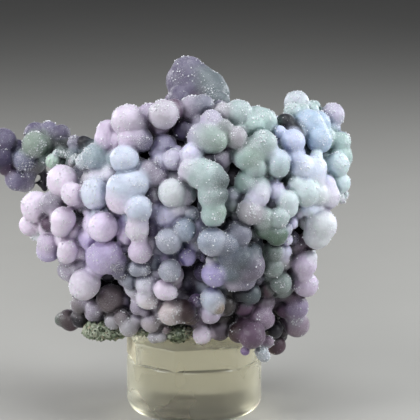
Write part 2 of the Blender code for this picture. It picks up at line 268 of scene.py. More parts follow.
def makeFloor():
    bm = bmesh.new()
    bmesh.ops.create_grid(bm, x_segments=2, y_segments=2, size=table["size"] / 2)
    floor = addObject("paleFloor", meshFromBmesh("paleFloor", bm))
    material, tree, shader = newMaterial("paleTable", {"Roughness": table["roughness"]})
    darker = [c * table["darker"] for c in table["tint"]]
    grain = noiseNode(tree, table["grainScale"], detail=3.0)
    ramp = rampNode(tree, grain, (0.0, 1.0), (darker, table["tint"]))
    link(tree, ramp, "Color", shader, "Base Color")
    floor.data.materials.append(material)
    floor.location.z = -table["gap"] * mm


# The agate's skin. Lengths in mm.
agate = {
    "frontMiddle": (-0.5, 39.0),  # the rounded front that the grapes stand out of
    "frontHalfSize": 29.0,
    "frontDepth": 17.0,
    "seat": 0.5,  # share of its radius that a grape is sunk into the front
    "ballLevels": 3,
    "lumpLevels": 5,
    "voxel": 0.36,
    "triangles": 194000,
    "blend": 0.16,  # how softly neighbours run together
    "shrink": 0.02,
    "furthestPull": 0.5,
    "swells": ((0.11, 2.4), (0.035, 0.8)),  # height and width of soft and fine unevenness
    "slopeStep": 0.15,
    "tintBlend": 0.45,
    "tintDrift": (0.8, 3.2),
    "driftSeed": 4,
    "openReach": (0.8, 2.6),
    "sugarPatch": 1.9,
    "plateReach": 13.1,
    "plateMargin": 0.4,
    "liftFrom": 14.6,
    "liftShare": 0.9,
    "floorZ": 14.34,
}

# Tints, as colours on screen from 0 to 255
# and lumps in shadowed hollows. Several others, such as brightLilac and shadeLilac, are lighter or darker
# copies
# armShade, maroonShade, taupeShade, deepShade, shadowBlack and shadowInk are painted shade: dark tints for
# grapes
# of one colour set grape by grape for the light that falls there, so in part painted light and painted
# shade.
tints = {
    "palePink": (237, 223, 241), "pinkWhite": (231, 222, 236), "lilac": (198, 184, 221),
    "lilacPink": (211, 196, 219), "lavender": (224, 221, 248), "paleLilac": (216, 212, 226),
    "periwinkle": (200, 208, 236), "blueWhite": (204, 212, 229), "paleBlue": (192, 208, 219),
    "blueGrey": (108, 117, 127), "slate": (108, 115, 130), "slateWhite": (165, 168, 182),
    "dustyLilac": (186, 181, 200), "lilacPale": (200, 196, 216), "dustyBlue": (178, 198, 219),
    "dustyWhite": (198, 191, 202), "paleMint": (208, 222, 224), "mint": (172, 194, 190),
    "tealWhite": (174, 191, 190), "green": (152, 174, 158), "deepGreen": (96, 118, 102),
    "greyGreen": (134, 146, 142), "greyMint": (158, 172, 168), "grey": (172, 169, 175),
    "greyLilac": (158, 150, 166), "greyPink": (172, 164, 168), "tanPink": (202, 190, 190),
    "white": (222, 226, 230), "violet": (104, 94, 126), "armViolet": (98, 91, 116),
    "armLilac": (126, 120, 146), "armBlue": (122, 124, 146), "frostGreen": (140, 155, 143),
    "brightMint": (192, 216, 198), "greyTaupe": (114, 114, 110), "darkSlate": (64, 70, 80),
    "darkTeal": (76, 88, 88), "slateGreen": (122, 136, 140), "shadowInk": (22, 25, 32),
    "domeViolet": (98, 92, 114), "domeGrey": (101, 110, 114), "plum": (100, 78, 98),
    "greyPlum": (94, 83, 95), "dustyPurple": (138, 124, 152), "mauveGrey": (136, 119, 134),
    "mauveLilac": (138, 118, 140), "frostGrey": (188, 195, 202), "paleAqua": (208, 227, 230),
    "paleSky": (224, 233, 252), "icyWhite": (219, 225, 241), "slateLilac": (128, 129, 144),
    "stoneGrey": (132, 137, 138), "shadeMint": (112, 130, 128), "darkBlueGrey": (88, 96, 105),
    "shadeLilac": (190, 186, 214), "ridgeMint": (134, 148, 144), "armShade": (32, 38, 40),
    "maroonShade": (66, 48, 50), "taupeShade": (62, 57, 55), "slateMint": (150, 166, 174),
    "taupePink": (132, 124, 128), "brightLilac": (240, 226, 252), "slateBlue": (154, 166, 184),
    "dustyPink": (216, 204, 221), "mauveSlate": (118, 111, 127), "violetGrey": (115, 111, 131),
    "darkViolet": (66, 58, 86), "mauve": (151, 122, 155), "darkMauve": (94, 71, 92),
    "purple": (130, 106, 148), "maroon": (84, 60, 72), "shadowBlack": (30, 28, 36), "iris": (176, 166, 212),
    "creamWhite": (216, 207, 206), "tan": (144, 128, 110), "darkTan": (116, 104, 108),
    "deepTeal": (82, 91, 96), "darkTaupe": (92, 86, 86), "deepShade": (62, 52, 70),
    "crustGreen": (96, 112, 88),
}

# Grapes of the front. Each has its place on an upright sheet at y = 0 as the camera sees it, its
# radius, how far it stands out of the rounded front (for the arm: its distance toward the camera)
# and the name of its tint.
leftArm = [
    (-35.4, 51.3, 2.6, -13.0, "armViolet"), (-35.6, 48.2, 2.3, -12.0, "darkViolet"),
    (-33.2, 49.6, 2.3, -14.5, "armLilac"), (-29.3, 52.8, 2.2, -14.5, "armViolet"),
    (-26.9, 53.5, 1.65, -14.0, "armLilac"), (-24.6, 52.8, 1.8, -12.5, "domeViolet"),
    (-22.0, 51.3, 1.2, -9.0, "violetGrey"), (-20.5, 51.1, 1.3, -8.0, "shadowBlack"),
    (-29.5, 50.7, 2.5, -11.0, "frostGreen"), (-31.6, 47.9, 2.2, -11.5, "armBlue"),
    (-29.4, 47.1, 1.8, -13.0, "greyTaupe"), (-33.1, 44.0, 2.05, -12.5, "armLilac"),
    (-31.5, 43.6, 1.9, -14.0, "grey"), (-26.2, 47.6, 1.4, -8.5, "brightMint"),
    (-25.2, 49.0, 0.9, -9.0, "greyMint"), (-24.1, 48.9, 0.8, -8.5, "ridgeMint"),
    (-22.9, 48.5, 0.9, -7.5, "ridgeMint"), (-21.8, 48.2, 0.8, -6.5, "greyMint"),
    (-22.5, 47.5, 0.9, -6.0, "grey"), (-22.6, 49.4, 0.9, -8.0, "blueGrey"),
    (-20.4, 47.6, 1.1, -2.5, "paleMint"), (-20.4, 46.6, 0.9, -1.0, "paleMint"),
    (-26.5, 51.0, 2.2, -12.5, "armShade"), (-24.0, 50.2, 2.2, -11.5, "armShade"),
    (-21.5, 49.6, 2.2, -10.5, "slate"), (-19.0, 49.3, 2.5, -8.5, "slateGreen"),
    (-27.5, 48.6, 2.0, -12.5, "shadeMint"), (-24.8, 47.7, 1.8, -11.0, "shadeMint"),
    (-22.3, 46.8, 1.8, -8.0, "darkSlate"),
]
upperLeft = [
    (-24.5, 43.9, 3.0, 0.0, "palePink"), (-22.6, 41.3, 2.2, 0.8, "palePink"),
    (-26.3, 39.6, 2.4, -2.0, "greyLilac"), (-29.4, 38.9, 3.0, 2.0, "palePink"),
    (-30.7, 35.4, 2.05, 1.5, "palePink"), (-29.0, 34.8, 1.6, 0.0, "mauveGrey"),
    (-29.8, 33.1, 0.7, 1.0, "white"), (-27.3, 32.0, 2.1, 0.5, "lilacPink"),
    (-27.3, 30.6, 2.3, 0.5, "lilac"), (-24.4, 36.5, 2.4, 1.5, "palePink"),
    (-24.9, 34.9, 1.9, 1.5, "palePink"), (-23.6, 31.0, 1.95, 1.0, "palePink"),
    (-23.8, 29.9, 1.9, 1.0, "palePink"), (-23.5, 26.7, 2.1, -4.0, "greyLilac"),
    (-17.5, 43.6, 2.9, -4.5, "paleLilac"), (-15.9, 53.3, 2.15, -2.0, "lilacPink"),
    (-16.4, 51.6, 2.2, -2.0, "lilacPink"), (-12.2, 55.3, 3.0, -1.5, "dustyPink"),
    (-12.2, 51.7, 1.9, 0.0, "lilacPink"), (-9.9, 51.6, 2.3, -1.0, "violetGrey"),
    (-5.6, 56.4, 2.8, 0.0, "dustyWhite"), (-8.0, 56.3, 2.3, -3.0, "mauve"),
    (-6.5, 55.0, 2.6, -4.0, "darkMauve"), (-5.2, 50.5, 1.9, -4.0, "shadeLilac"),
    (-7.1, 49.2, 1.3, -3.5, "shadeLilac"), (-1.9, 53.4, 2.0, -4.5, "darkViolet"),
    (-3.9, 47.9, 2.05, -1.0, "lilacPale"), (-12.9, 47.9, 2.75, 1.0, "blueWhite"),
    (-8.3, 45.3, 2.7, -2.0, "violetGrey"), (-13.4, 42.4, 3.05, 2.0, "blueWhite"),
    (-10.9, 43.2, 2.6, 1.5, "blueWhite"), (-13.6, 40.4, 2.9, 2.0, "palePink"),
    (-18.6, 41.9, 2.5, 0.5, "icyWhite"), (-18.4, 40.9, 2.6, 0.5, "icyWhite"),
    (-4.0, 41.6, 2.75, 1.0, "white"), (-18.9, 48.1, 2.2, -4.0, "slateMint"),
    (-17.2, 49.2, 2.1, -4.0, "slateMint"), (-15.5, 46.2, 2.0, -3.5, "paleLilac"),
]
topGrapes = [
    (-1.7, 62.6, 3.5, -12.0, "domeViolet"), (-1.1, 64.2, 3.2, -12.0, "violetGrey"),
    (-1.0, 60.0, 3.6, -12.5, "domeViolet"), (2.5, 61.2, 3.6, -12.0, "domeGrey"),
    (3.6, 60.2, 3.1, -11.5, "domeGrey"), (-0.2, 57.6, 2.3, -5.0, "greyLilac"),
    (1.3, 58.0, 1.7, -6.0, "blueGrey"), (3.2, 55.3, 2.0, -0.5, "dustyLilac"),
    (5.2, 53.6, 2.0, 0.5, "stoneGrey"), (0.9, 52.0, 2.2, -1.0, "dustyLilac"),
    (3.6, 51.6, 2.5, 1.0, "greyMint"), (7.8, 52.2, 1.95, 0.5, "grey"), (9.7, 48.5, 2.6, 0.0, "mint"),
    (9.8, 43.6, 2.3, -1.0, "mint"), (8.3, 56.4, 2.6, -2.5, "tealWhite"), (11.2, 54.4, 2.0, -1.5, "mint"),
    (12.9, 55.0, 2.6, -2.5, "mint"), (11.2, 56.2, 1.8, -4.0, "mint"), (-0.8, 48.5, 2.0, -1.0, "paleLilac"),
    (-1.2, 45.4, 1.8, 0.0, "pinkWhite"), (3.0, 44.5, 3.0, 2.5, "tealWhite"),
    (3.3, 41.0, 2.6, 2.5, "tealWhite"), (3.6, 37.4, 2.3, 2.5, "mint"), (12.9, 50.9, 2.6, 1.0, "tealWhite"),
    (11.6, 46.5, 2.2, 0.0, "tealWhite"), (12.4, 43.4, 1.7, -0.5, "tealWhite"),
    (12.1, 40.9, 2.1, 1.0, "paleLilac"), (5.0, 48.3, 2.2, -1.5, "greyLilac"),
    (6.0, 56.9, 1.6, -6.0, "grey"),
]
rightGrapes = [
    (18.9, 58.5, 2.2, -5.0, "frostGrey"), (18.1, 56.9, 1.4, -4.0, "paleMint"),
    (22.3, 57.8, 1.3, -4.0, "mint"), (25.7, 56.4, 2.2, -4.0, "dustyLilac"),
    (21.3, 54.4, 3.0, -1.0, "dustyBlue"), (23.5, 51.6, 2.2, 0.0, "dustyBlue"),
    (25.5, 53.2, 1.8, -2.5, "slateBlue"), (27.3, 51.4, 1.9, -3.0, "mint"), (27.3, 48.9, 2.1, -3.0, "mint"),
    (26.5, 47.0, 2.3, -2.5, "paleAqua"), (27.0, 43.6, 2.1, -2.5, "paleAqua"),
    (28.0, 41.2, 0.9, -2.5, "paleMint"), (27.6, 40.2, 0.7, -2.5, "white"),
    (18.4, 51.3, 2.35, 0.5, "periwinkle"), (16.0, 53.2, 1.2, -1.5, "periwinkle"),
    (17.0, 55.0, 1.6, -4.0, "shadowInk"), (15.7, 47.6, 2.3, 1.0, "paleBlue"),
    (15.7, 46.6, 2.2, 1.0, "tealWhite"), (18.7, 48.2, 1.9, 0.0, "periwinkle"),
    (19.9, 46.3, 2.2, 0.5, "paleSky"), (22.4, 46.2, 2.4, 1.0, "paleSky"),
    (22.8, 48.7, 1.2, 0.5, "paleMint"), (15.3, 41.9, 1.8, -1.0, "lavender"),
    (17.4, 39.9, 2.2, 1.5, "paleMint"), (17.6, 38.6, 1.8, 1.5, "paleMint"),
    (15.9, 36.9, 2.0, 2.0, "tealWhite"), (15.5, 33.7, 2.2, 1.0, "deepGreen"),
    (15.2, 30.4, 1.85, -0.5, "greyGreen"), (16.3, 30.0, 1.8, -1.5, "grey"),
    (14.8, 27.4, 2.1, -0.5, "greyGreen"), (16.4, 24.3, 2.1, 0.5, "greyGreen"),
    (20.8, 41.7, 2.8, 1.5, "paleMint"), (24.7, 40.9, 2.6, 1.0, "paleLilac"),
    (23.7, 35.4, 3.1, 2.5, "white"), (23.0, 33.4, 2.6, 2.0, "white"), (18.3, 37.0, 1.0, -2.5, "lavender"),
    (19.7, 37.7, 1.1, -3.0, "paleLilac"), (19.0, 31.5, 2.2, -4.0, "mauveGrey"),
    (18.3, 33.0, 1.4, -3.0, "violetGrey"), (20.7, 27.9, 2.4, 0.5, "lilacPink"),
    (22.0, 29.2, 1.2, 0.5, "white"), (21.0, 24.0, 2.4, 1.0, "lilacPink"),
    (19.2, 19.6, 2.4, 0.5, "dustyPurple"), (19.3, 16.3, 2.5, 3.0, "mauveGrey"),
    (22.5, 43.8, 1.8, 0.0, "paleLilac"), (17.2, 19.5, 2.0, -3.0, "darkMauve"),
    (18.3, 21.9, 1.7, -2.5, "darkMauve"), (16.3, 15.6, 2.0, -1.0, "shadowBlack"),
]
middleGrapes = [
    (-10.3, 38.6, 2.6, 3.0, "blueWhite"), (-10.6, 34.7, 2.3, 2.5, "pinkWhite"),
    (-10.1, 30.4, 2.35, 2.5, "lilacPink"), (-17.1, 35.1, 2.9, 2.0, "brightLilac"),
    (-17.1, 29.2, 3.2, 2.0, "lilac"), (-15.7, 30.0, 2.35, 1.5, "lilac"),
    (-14.2, 28.2, 1.9, 0.5, "violetGrey"), (-14.0, 26.3, 1.4, 0.5, "violetGrey"),
    (-19.5, 33.0, 2.3, -2.5, "lilac"), (-12.6, 33.5, 1.8, -2.5, "lavender"),
    (-13.0, 36.0, 1.4, -2.5, "iris"), (-10.8, 27.1, 1.6, 0.5, "slateWhite"),
    (-9.3, 26.9, 1.2, 0.5, "slateWhite"), (-12.4, 25.2, 1.6, -0.5, "slateWhite"),
    (-12.0, 24.0, 1.1, -0.5, "slateLilac"), (-19.8, 38.0, 1.0, -3.0, "greyLilac"),
    (-21.0, 38.2, 1.0, -4.0, "shadowBlack"), (-4.8, 37.0, 2.3, -2.0, "lavender"),
    (-4.7, 32.4, 2.5, 2.5, "slateWhite"), (-1.7, 34.5, 2.2, 1.5, "slateBlue"),
    (-1.35, 29.2, 1.65, -4.0, "lilac"), (-4.55, 26.7, 2.2, 2.5, "slateWhite"),
    (-0.6, 37.4, 1.5, -3.0, "shadeLilac"), (-7.3, 41.3, 1.7, -2.0, "greyLilac"),
    (-7.3, 37.0, 1.5, -4.0, "violet"), (3.5, 32.2, 2.8, 3.0, "slateWhite"), (5.9, 31.7, 2.6, 2.0, "slate"),
    (8.4, 33.6, 2.5, 1.5, "slateLilac"), (4.7, 29.5, 1.3, 0.5, "greyGreen"),
    (3.1, 28.7, 0.9, 0.5, "paleLilac"), (1.9, 29.2, 1.0, -1.5, "violet"), (3.9, 26.1, 2.6, 1.5, "iris"),
    (7.0, 27.0, 2.6, 2.0, "blueGrey"), (10.4, 27.6, 3.0, 2.5, "mauveSlate"),
    (9.3, 25.3, 2.5, 1.5, "violetGrey"), (10.8, 30.2, 2.0, 1.0, "darkBlueGrey"),
    (10.5, 38.0, 2.5, 1.5, "grey"), (12.9, 36.8, 2.3, 1.0, "greyMint"), (13.3, 34.7, 2.0, 0.0, "deepGreen"),
    (7.4, 41.3, 1.4, -3.0, "slateWhite"), (7.3, 39.3, 1.4, -3.0, "greyGreen"),
]
lowerGrapes = [
    (-20.7, 23.8, 2.85, 1.0, "pinkWhite"), (-20.9, 24.3, 2.5, -3.5, "greyPink"),
    (-21.6, 19.9, 1.6, -2.5, "taupePink"), (-23.3, 17.0, 2.0, -1.5, "maroon"),
    (-25.0, 17.2, 1.3, -2.0, "deepGreen"), (-21.4, 17.4, 1.8, 0.0, "shadowBlack"),
    (-18.8, 18.5, 1.8, -3.0, "greyLilac"), (-15.5, 20.9, 2.5, -5.0, "darkTan"),
    (-15.3, 16.9, 1.6, -0.5, "grey"), (-12.3, 15.6, 1.7, 0.0, "greyPink"),
    (-10.6, 19.6, 1.5, -2.0, "greyLilac"), (-9.3, 18.7, 0.9, -1.5, "greyLilac"),
    (-10.9, 17.1, 1.3, -1.5, "greyLilac"), (-8.1, 16.6, 1.9, -0.5, "greyPink"),
    (-8.9, 24.0, 2.2, 0.5, "paleLilac"), (-9.0, 21.4, 2.1, 1.0, "pinkWhite"),
    (-5.7, 23.0, 1.95, 2.5, "palePink"), (-4.6, 22.5, 1.5, 2.5, "pinkWhite"),
    (-4.4, 18.6, 2.5, 2.0, "tanPink"), (-2.7, 18.8, 2.2, 0.5, "maroonShade"),
    (-7.5, 13.8, 1.25, 1.0, "grey"), (-6.2, 13.8, 1.15, 1.0, "grey"), (-5.2, 15.2, 0.9, 0.0, "darkTan"),
    (1.6, 14.3, 1.9, 1.3, "palePink"), (4.8, 15.2, 2.1, 0.5, "greyPlum"),
    (3.5, 20.9, 2.25, 1.5, "blueWhite"), (3.2, 18.4, 1.95, 1.5, "greyLilac"),
    (5.9, 19.7, 1.8, -0.5, "taupeShade"), (0.4, 20.4, 1.1, -4.0, "purple"),
    (10.7, 22.0, 1.8, -0.5, "deepTeal"), (9.5, 19.4, 1.9, -2.5, "violetGrey"),
    (13.2, 20.6, 2.1, -1.5, "greyPlum"), (13.2, 17.3, 2.0, 2.0, "mauveLilac"),
    (10.9, 14.2, 2.6, 7.0, "plum"), (8.4, 14.7, 2.0, 3.5, "maroonShade"),
    (13.9, 12.9, 1.2, 9.6, "mauveGrey"), (15.5, 12.3, 1.9, 3.0, "maroon"), (9.6, 11.1, 0.9, 12.0, "purple"),
    (12.0, 13.4, 1.5, 7.0, "darkMauve"), (12.7, 11.0, 1.3, 10.0, "frostGrey"),
    (13.2, 10.1, 1.2, 9.8, "frostGrey"),
]

# Swellings that join the grapes above, smaller grapes on them, and crumbs. They are placed after the
# hidden grapes, which keep clear of the lists above only.
armJoins = [
    (-33.0, 44.4, 2.1, -12.5, "armLilac"), (-30.9, 45.2, 1.7, -13.0, "violetGrey"),
    (-28.8, 46.3, 1.3, -14.5, "shadowBlack"), (-27.9, 45.2, 0.8, -14.5, "shadowBlack"),
    (-28.0, 44.3, 0.6, -14.5, "shadowBlack"), (-28.1, 43.3, 0.85, -14.5, "shadowBlack"),
    (-27.8, 42.4, 0.6, -14.5, "shadowBlack"), (-28.8, 43.5, 0.45, -14.5, "shadowBlack"),
    (-35.0, 46.6, 1.7, -12.5, "darkMauve"), (-22.1, 49.3, 1.2, -8.4, "slate"),
    (-19.9, 51.0, 1.0, -8.0, "shadowBlack"), (-20.8, 50.3, 0.9, -8.6, "shadowInk"),
    (-26.9, 53.0, 1.8, -13.4, "violetGrey"), (-22.4, 51.6, 0.9, -8.6, "greyLilac"),
    (-23.0, 50.9, 0.6, -8.6, "greyLilac"), (-22.6, 51.0, 0.7, -8.4, "slateWhite"),
    (-21.4, 47.6, 0.7, -4.4, "paleMint"), (-25.8, 49.1, 0.5, -8.2, "paleMint"),
    (-20.8, 48.4, 0.6, -3.4, "paleMint"), (-20.6, 47.0, 0.8, -2.2, "white"),
    (-21.2, 46.6, 0.5, -2.6, "paleMint"), (-20.2, 47.8, 0.6, -2.4, "paleMint"),
]
leftJoins = [
    (-12.4, 55.2, 3.0, 0.3, "dustyPink"), (-10.7, 54.6, 2.3, -0.8, "greyLilac"),
    (-11.0, 51.7, 2.2, -0.8, "lilacPink"), (-8.4, 56.2, 2.2, -2.6, "dustyLilac"),
    (-6.6, 55.0, 2.6, -3.4, "darkMauve"), (-5.5, 50.4, 2.3, -4.0, "shadeLilac"),
    (-8.6, 45.2, 2.7, -0.9, "greyLilac"), (-6.6, 44.6, 2.0, -1.2, "greyLilac"),
    (-18.1, 48.4, 2.7, -2.2, "slateMint"), (-20.2, 47.4, 1.8, -3.2, "frostGrey"),
    (-16.8, 48.0, 2.0, -2.8, "slateMint"), (-17.3, 43.7, 2.9, -3.0, "paleLilac"),
    (-19.3, 43.9, 1.9, -3.0, "grey"), (-15.5, 45.0, 1.8, -2.6, "paleLilac"),
    (-12.2, 42.7, 2.9, 2.0, "blueWhite"), (-12.6, 40.3, 2.6, 1.8, "lavender"),
    (-10.4, 36.6, 1.95, 2.3, "lilacPink"), (-10.2, 32.6, 1.6, 2.0, "lilacPink"),
    (-4.9, 37.2, 2.4, -0.6, "lavender"), (-3.0, 38.4, 1.8, -0.8, "paleLilac"),
    (-1.6, 41.3, 2.1, -0.4, "greyLilac"), (-1.2, 29.3, 1.7, -0.8, "iris"),
    (-0.6, 37.6, 1.5, -1.0, "slateWhite"), (-7.4, 28.3, 1.5, -1.6, "slate"),
    (-27.3, 35.6, 1.4, -0.4, "darkMauve"), (-22.6, 26.7, 2.4, -3.0, "greyLilac"),
    (-21.2, 27.4, 2.2, -3.2, "greyLilac"), (-20.4, 24.3, 2.9, 0.8, "pinkWhite"),
    (-15.7, 21.3, 2.7, -3.8, "darkTan"), (-18.7, 19.3, 1.8, -1.2, "greyLilac"),
    (-21.6, 20.2, 1.6, -1.6, "taupePink"), (-13.6, 17.6, 1.5, -0.8, "taupePink"),
    (-12.2, 15.9, 1.8, 0.4, "grey"), (-24.0, 17.3, 1.8, -1.2, "darkTaupe"),
    (-21.8, 17.5, 1.4, 0.2, "shadowBlack"), (-8.9, 20.6, 1.3, 1.4, "creamWhite"),
    (-8.0, 20.6, 1.2, 1.5, "creamWhite"), (-3.9, 18.9, 1.0, 3.0, "tanPink"),
    (-2.0, 18.8, 2.4, 1.7, "maroonShade"), (-0.8, 18.2, 2.0, 0.0, "maroonShade"),
]
middleJoins = [
    (-0.4, 57.7, 2.35, -3.4, "greyLilac"), (1.7, 58.2, 2.1, -2.6, "slateLilac"),
    (0.2, 63.2, 3.1, -12.0, "domeViolet"), (1.2, 62.4, 3.2, -12.0, "domeGrey"),
    (-2.6, 59.4, 2.2, -11.0, "domeViolet"), (4.0, 58.9, 2.3, -9.5, "domeGrey"),
    (5.2, 58.9, 1.6, -9.0, "domeGrey"), (3.3, 55.5, 1.8, -0.1, "dustyLilac"),
    (4.8, 57.6, 1.5, -6.0, "violetGrey"), (1.7, 52.3, 2.7, 0.0, "dustyLilac"),
    (2.9, 52.0, 2.9, 0.7, "greyMint"), (-0.2, 49.0, 2.2, 0.0, "lavender"),
    (-0.8, 46.2, 1.9, 0.9, "paleLilac"), (1.3, 45.3, 3.0, 1.5, "tealWhite"), (4.4, 51.4, 1.9, 1.2, "green"),
    (5.4, 53.6, 1.8, 0.4, "stoneGrey"), (3.2, 42.9, 2.45, 2.4, "tealWhite"), (3.6, 39.3, 1.95, 2.4, "mint"),
    (4.7, 44.0, 1.9, 2.9, "darkTeal"), (4.6, 41.3, 1.8, 2.9, "darkTeal"), (4.6, 38.0, 1.5, 2.9, "green"),
    (10.6, 48.3, 2.2, 0.4, "green"), (7.8, 52.0, 2.1, 0.6, "grey"), (8.3, 56.5, 2.7, -2.2, "tealWhite"),
    (11.6, 56.3, 1.7, -2.6, "tealWhite"), (11.3, 49.7, 2.6, 0.5, "greyMint"),
    (14.0, 49.3, 1.9, 0.4, "paleSky"), (7.3, 41.2, 1.6, -1.6, "slateWhite"),
    (7.3, 39.3, 1.5, -1.6, "greyGreen"), (2.7, 32.3, 2.1, 3.4, "slateBlue"), (6.3, 31.6, 2.0, 3.0, "slate"),
    (6.6, 29.6, 2.2, 2.2, "slate"), (8.8, 29.2, 2.5, 2.6, "darkBlueGrey"),
    (7.6, 24.9, 2.2, 1.5, "greyLilac"), (3.3, 21.5, 2.1, 1.8, "blueWhite"), (4.5, 19.6, 1.4, 3.2, "tan"),
    (3.0, 18.5, 1.9, 1.7, "lilacPink"), (0.4, 20.8, 1.4, -1.0, "purple"),
    (5.8, 20.1, 2.1, 0.3, "taupeShade"), (10.6, 22.3, 2.0, 0.0, "deepTeal"),
    (8.6, 22.3, 1.6, -0.6, "shadowBlack"), (9.4, 19.8, 2.1, -1.0, "darkMauve"),
    (13.0, 20.4, 1.7, -0.6, "greyPlum"), (12.7, 17.8, 2.1, 2.2, "mauveLilac"),
    (10.3, 15.3, 3.0, 3.0, "plum"),
]
rightJoins = [
    (19.3, 58.7, 2.1, -4.5, "frostGrey"), (18.4, 57.0, 1.6, -3.6, "tealWhite"),
    (20.0, 57.0, 1.6, -3.2, "tealWhite"), (21.7, 57.2, 1.6, -2.6, "mint"),
    (25.7, 56.2, 2.3, -1.5, "dustyLilac"), (22.9, 53.2, 2.2, 0.4, "dustyBlue"),
    (23.3, 51.5, 2.4, 1.2, "dustyBlue"), (27.1, 51.0, 2.1, 2.0, "mint"), (27.0, 48.4, 2.6, 2.4, "mint"),
    (26.6, 46.9, 2.4, 2.4, "paleAqua"), (27.1, 43.4, 2.1, 1.2, "paleAqua"),
    (25.6, 53.6, 1.7, -0.8, "slateBlue"), (21.8, 45.4, 2.9, 0.5, "paleSky"),
    (24.6, 43.2, 1.9, 0.6, "lavender"), (20.2, 46.6, 2.3, 0.7, "paleSky"),
    (19.0, 43.2, 1.6, 0.6, "paleMint"), (22.4, 43.6, 1.9, 0.9, "paleLilac"),
    (17.0, 54.7, 1.9, -3.2, "shadowInk"), (22.8, 41.3, 2.3, 1.2, "white"), (21.5, 38.7, 1.7, 0.0, "paleSky"),
    (22.9, 38.6, 1.5, 0.2, "paleLilac"), (17.3, 34.6, 1.2, 0.4, "lavender"),
    (17.4, 32.6, 1.1, -0.2, "lavender"), (17.2, 30.4, 1.2, -0.4, "lavender"),
    (16.9, 28.8, 1.1, -0.6, "grey"), (12.2, 41.9, 2.1, 0.4, "frostGrey"),
    (11.3, 40.3, 1.9, 1.0, "lavender"), (18.4, 35.8, 1.2, -1.2, "lavender"),
    (14.9, 15.3, 1.8, 0.6, "shadowBlack"), (16.0, 14.2, 1.6, -0.5, "shadowBlack"),
    (19.0, 18.1, 1.9, 1.4, "greyLilac"), (20.6, 26.1, 1.6, 0.8, "lilacPink"),
    (13.5, 23.2, 1.7, -2.2, "maroon"), (19.7, 37.7, 1.1, -1.6, "paleLilac"),
    (15.3, 41.9, 1.8, -0.2, "lavender"), (-12.6, 33.5, 1.9, -1.2, "brightLilac"),
]
bodyGrapes = upperLeft + topGrapes + rightGrapes + middleGrapes + lowerGrapes
joinGrapes = leftJoins + middleJoins + rightJoins

# Lumps under the grapes: middle, half sizes. Then the crust's lumps below.
stoneLumps = [
    ((0.5, 1.0, 40.0), (22.0, 12.0, 17.0)),
    ((-13.0, 1.0, 37.0), (14.0, 8.5, 12.5)),
    ((15.0, 1.0, 44.0), (11.5, 7.5, 11.5)),
    ((6.0, 0.0, 27.5), (14.0, 10.0, 11.0)),
    ((-3.0, 0.5, 22.5), (13.0, 8.5, 7.6)),
    ((-16.5, 3.5, 22.5), (6.0, 5.0, 6.5)),
    ((0.5, 3.0, 57.0), (5.5, 4.0, 6.0)),
]
crustLumps = [
    ((-17.8, -1.5, 15.4), (2.9, 2.6, 1.6)),
    ((-14.6, 0.5, 16.6), (3.4, 3.4, 1.5)),
    ((-9.0, 0.0, 16.6), (5.0, 6.0, 1.9)),
    ((-3.0, -5.5, 16.4), (2.6, 3.0, 1.75)),
    ((6.0, 0.0, 17.0), (7.0, 7.0, 2.3)),
]
lumps = stoneLumps + crustLumps
# The stone's lumps take deepShade, painted shade for the hollows between the grapes
lumpTints = ["deepShade"] * len(stoneLumps) + ["crustGreen"] * len(crustLumps)

# Grapes that the front hides, over the shoulders and on the far side. Room is the least distance
# between two middles, as a share of their radii.
hiddenGrapes = {
    "seed": 11,
    "room": 0.80,
    "radius": 2.8,
    "spread": 0.25,
    "shoulderTries": 5000,
    "shoulderBand": 2.5,
    "shoulderFrom": (-32.0, -13.0, 14.0),
    "shoulderTo": (29.0, 8.0, 58.0),
    "behindFront": 1.6,
    "taper": 0.02,
    "taperFrom": -3.0,
    "farTries": 2500,
    "farMiddle": (1.0, 1.0, 38.0),
    "farHalfSizes": (24.5, 17.0, 20.5),
    "farDepths": (0.95, 1.05),
    "farStart": -0.1,
    "pullIn": 0.95,
    "pulls": 8,
    "neighbours": 3,  # a hidden grape takes its tint from one of so many front grapes
    "flatten": 0.35,
}
partners = {"seed": 17, "share": 0.75, "radius": (0.5, 0.85), "reach": 0.9, "inset": 0.3}

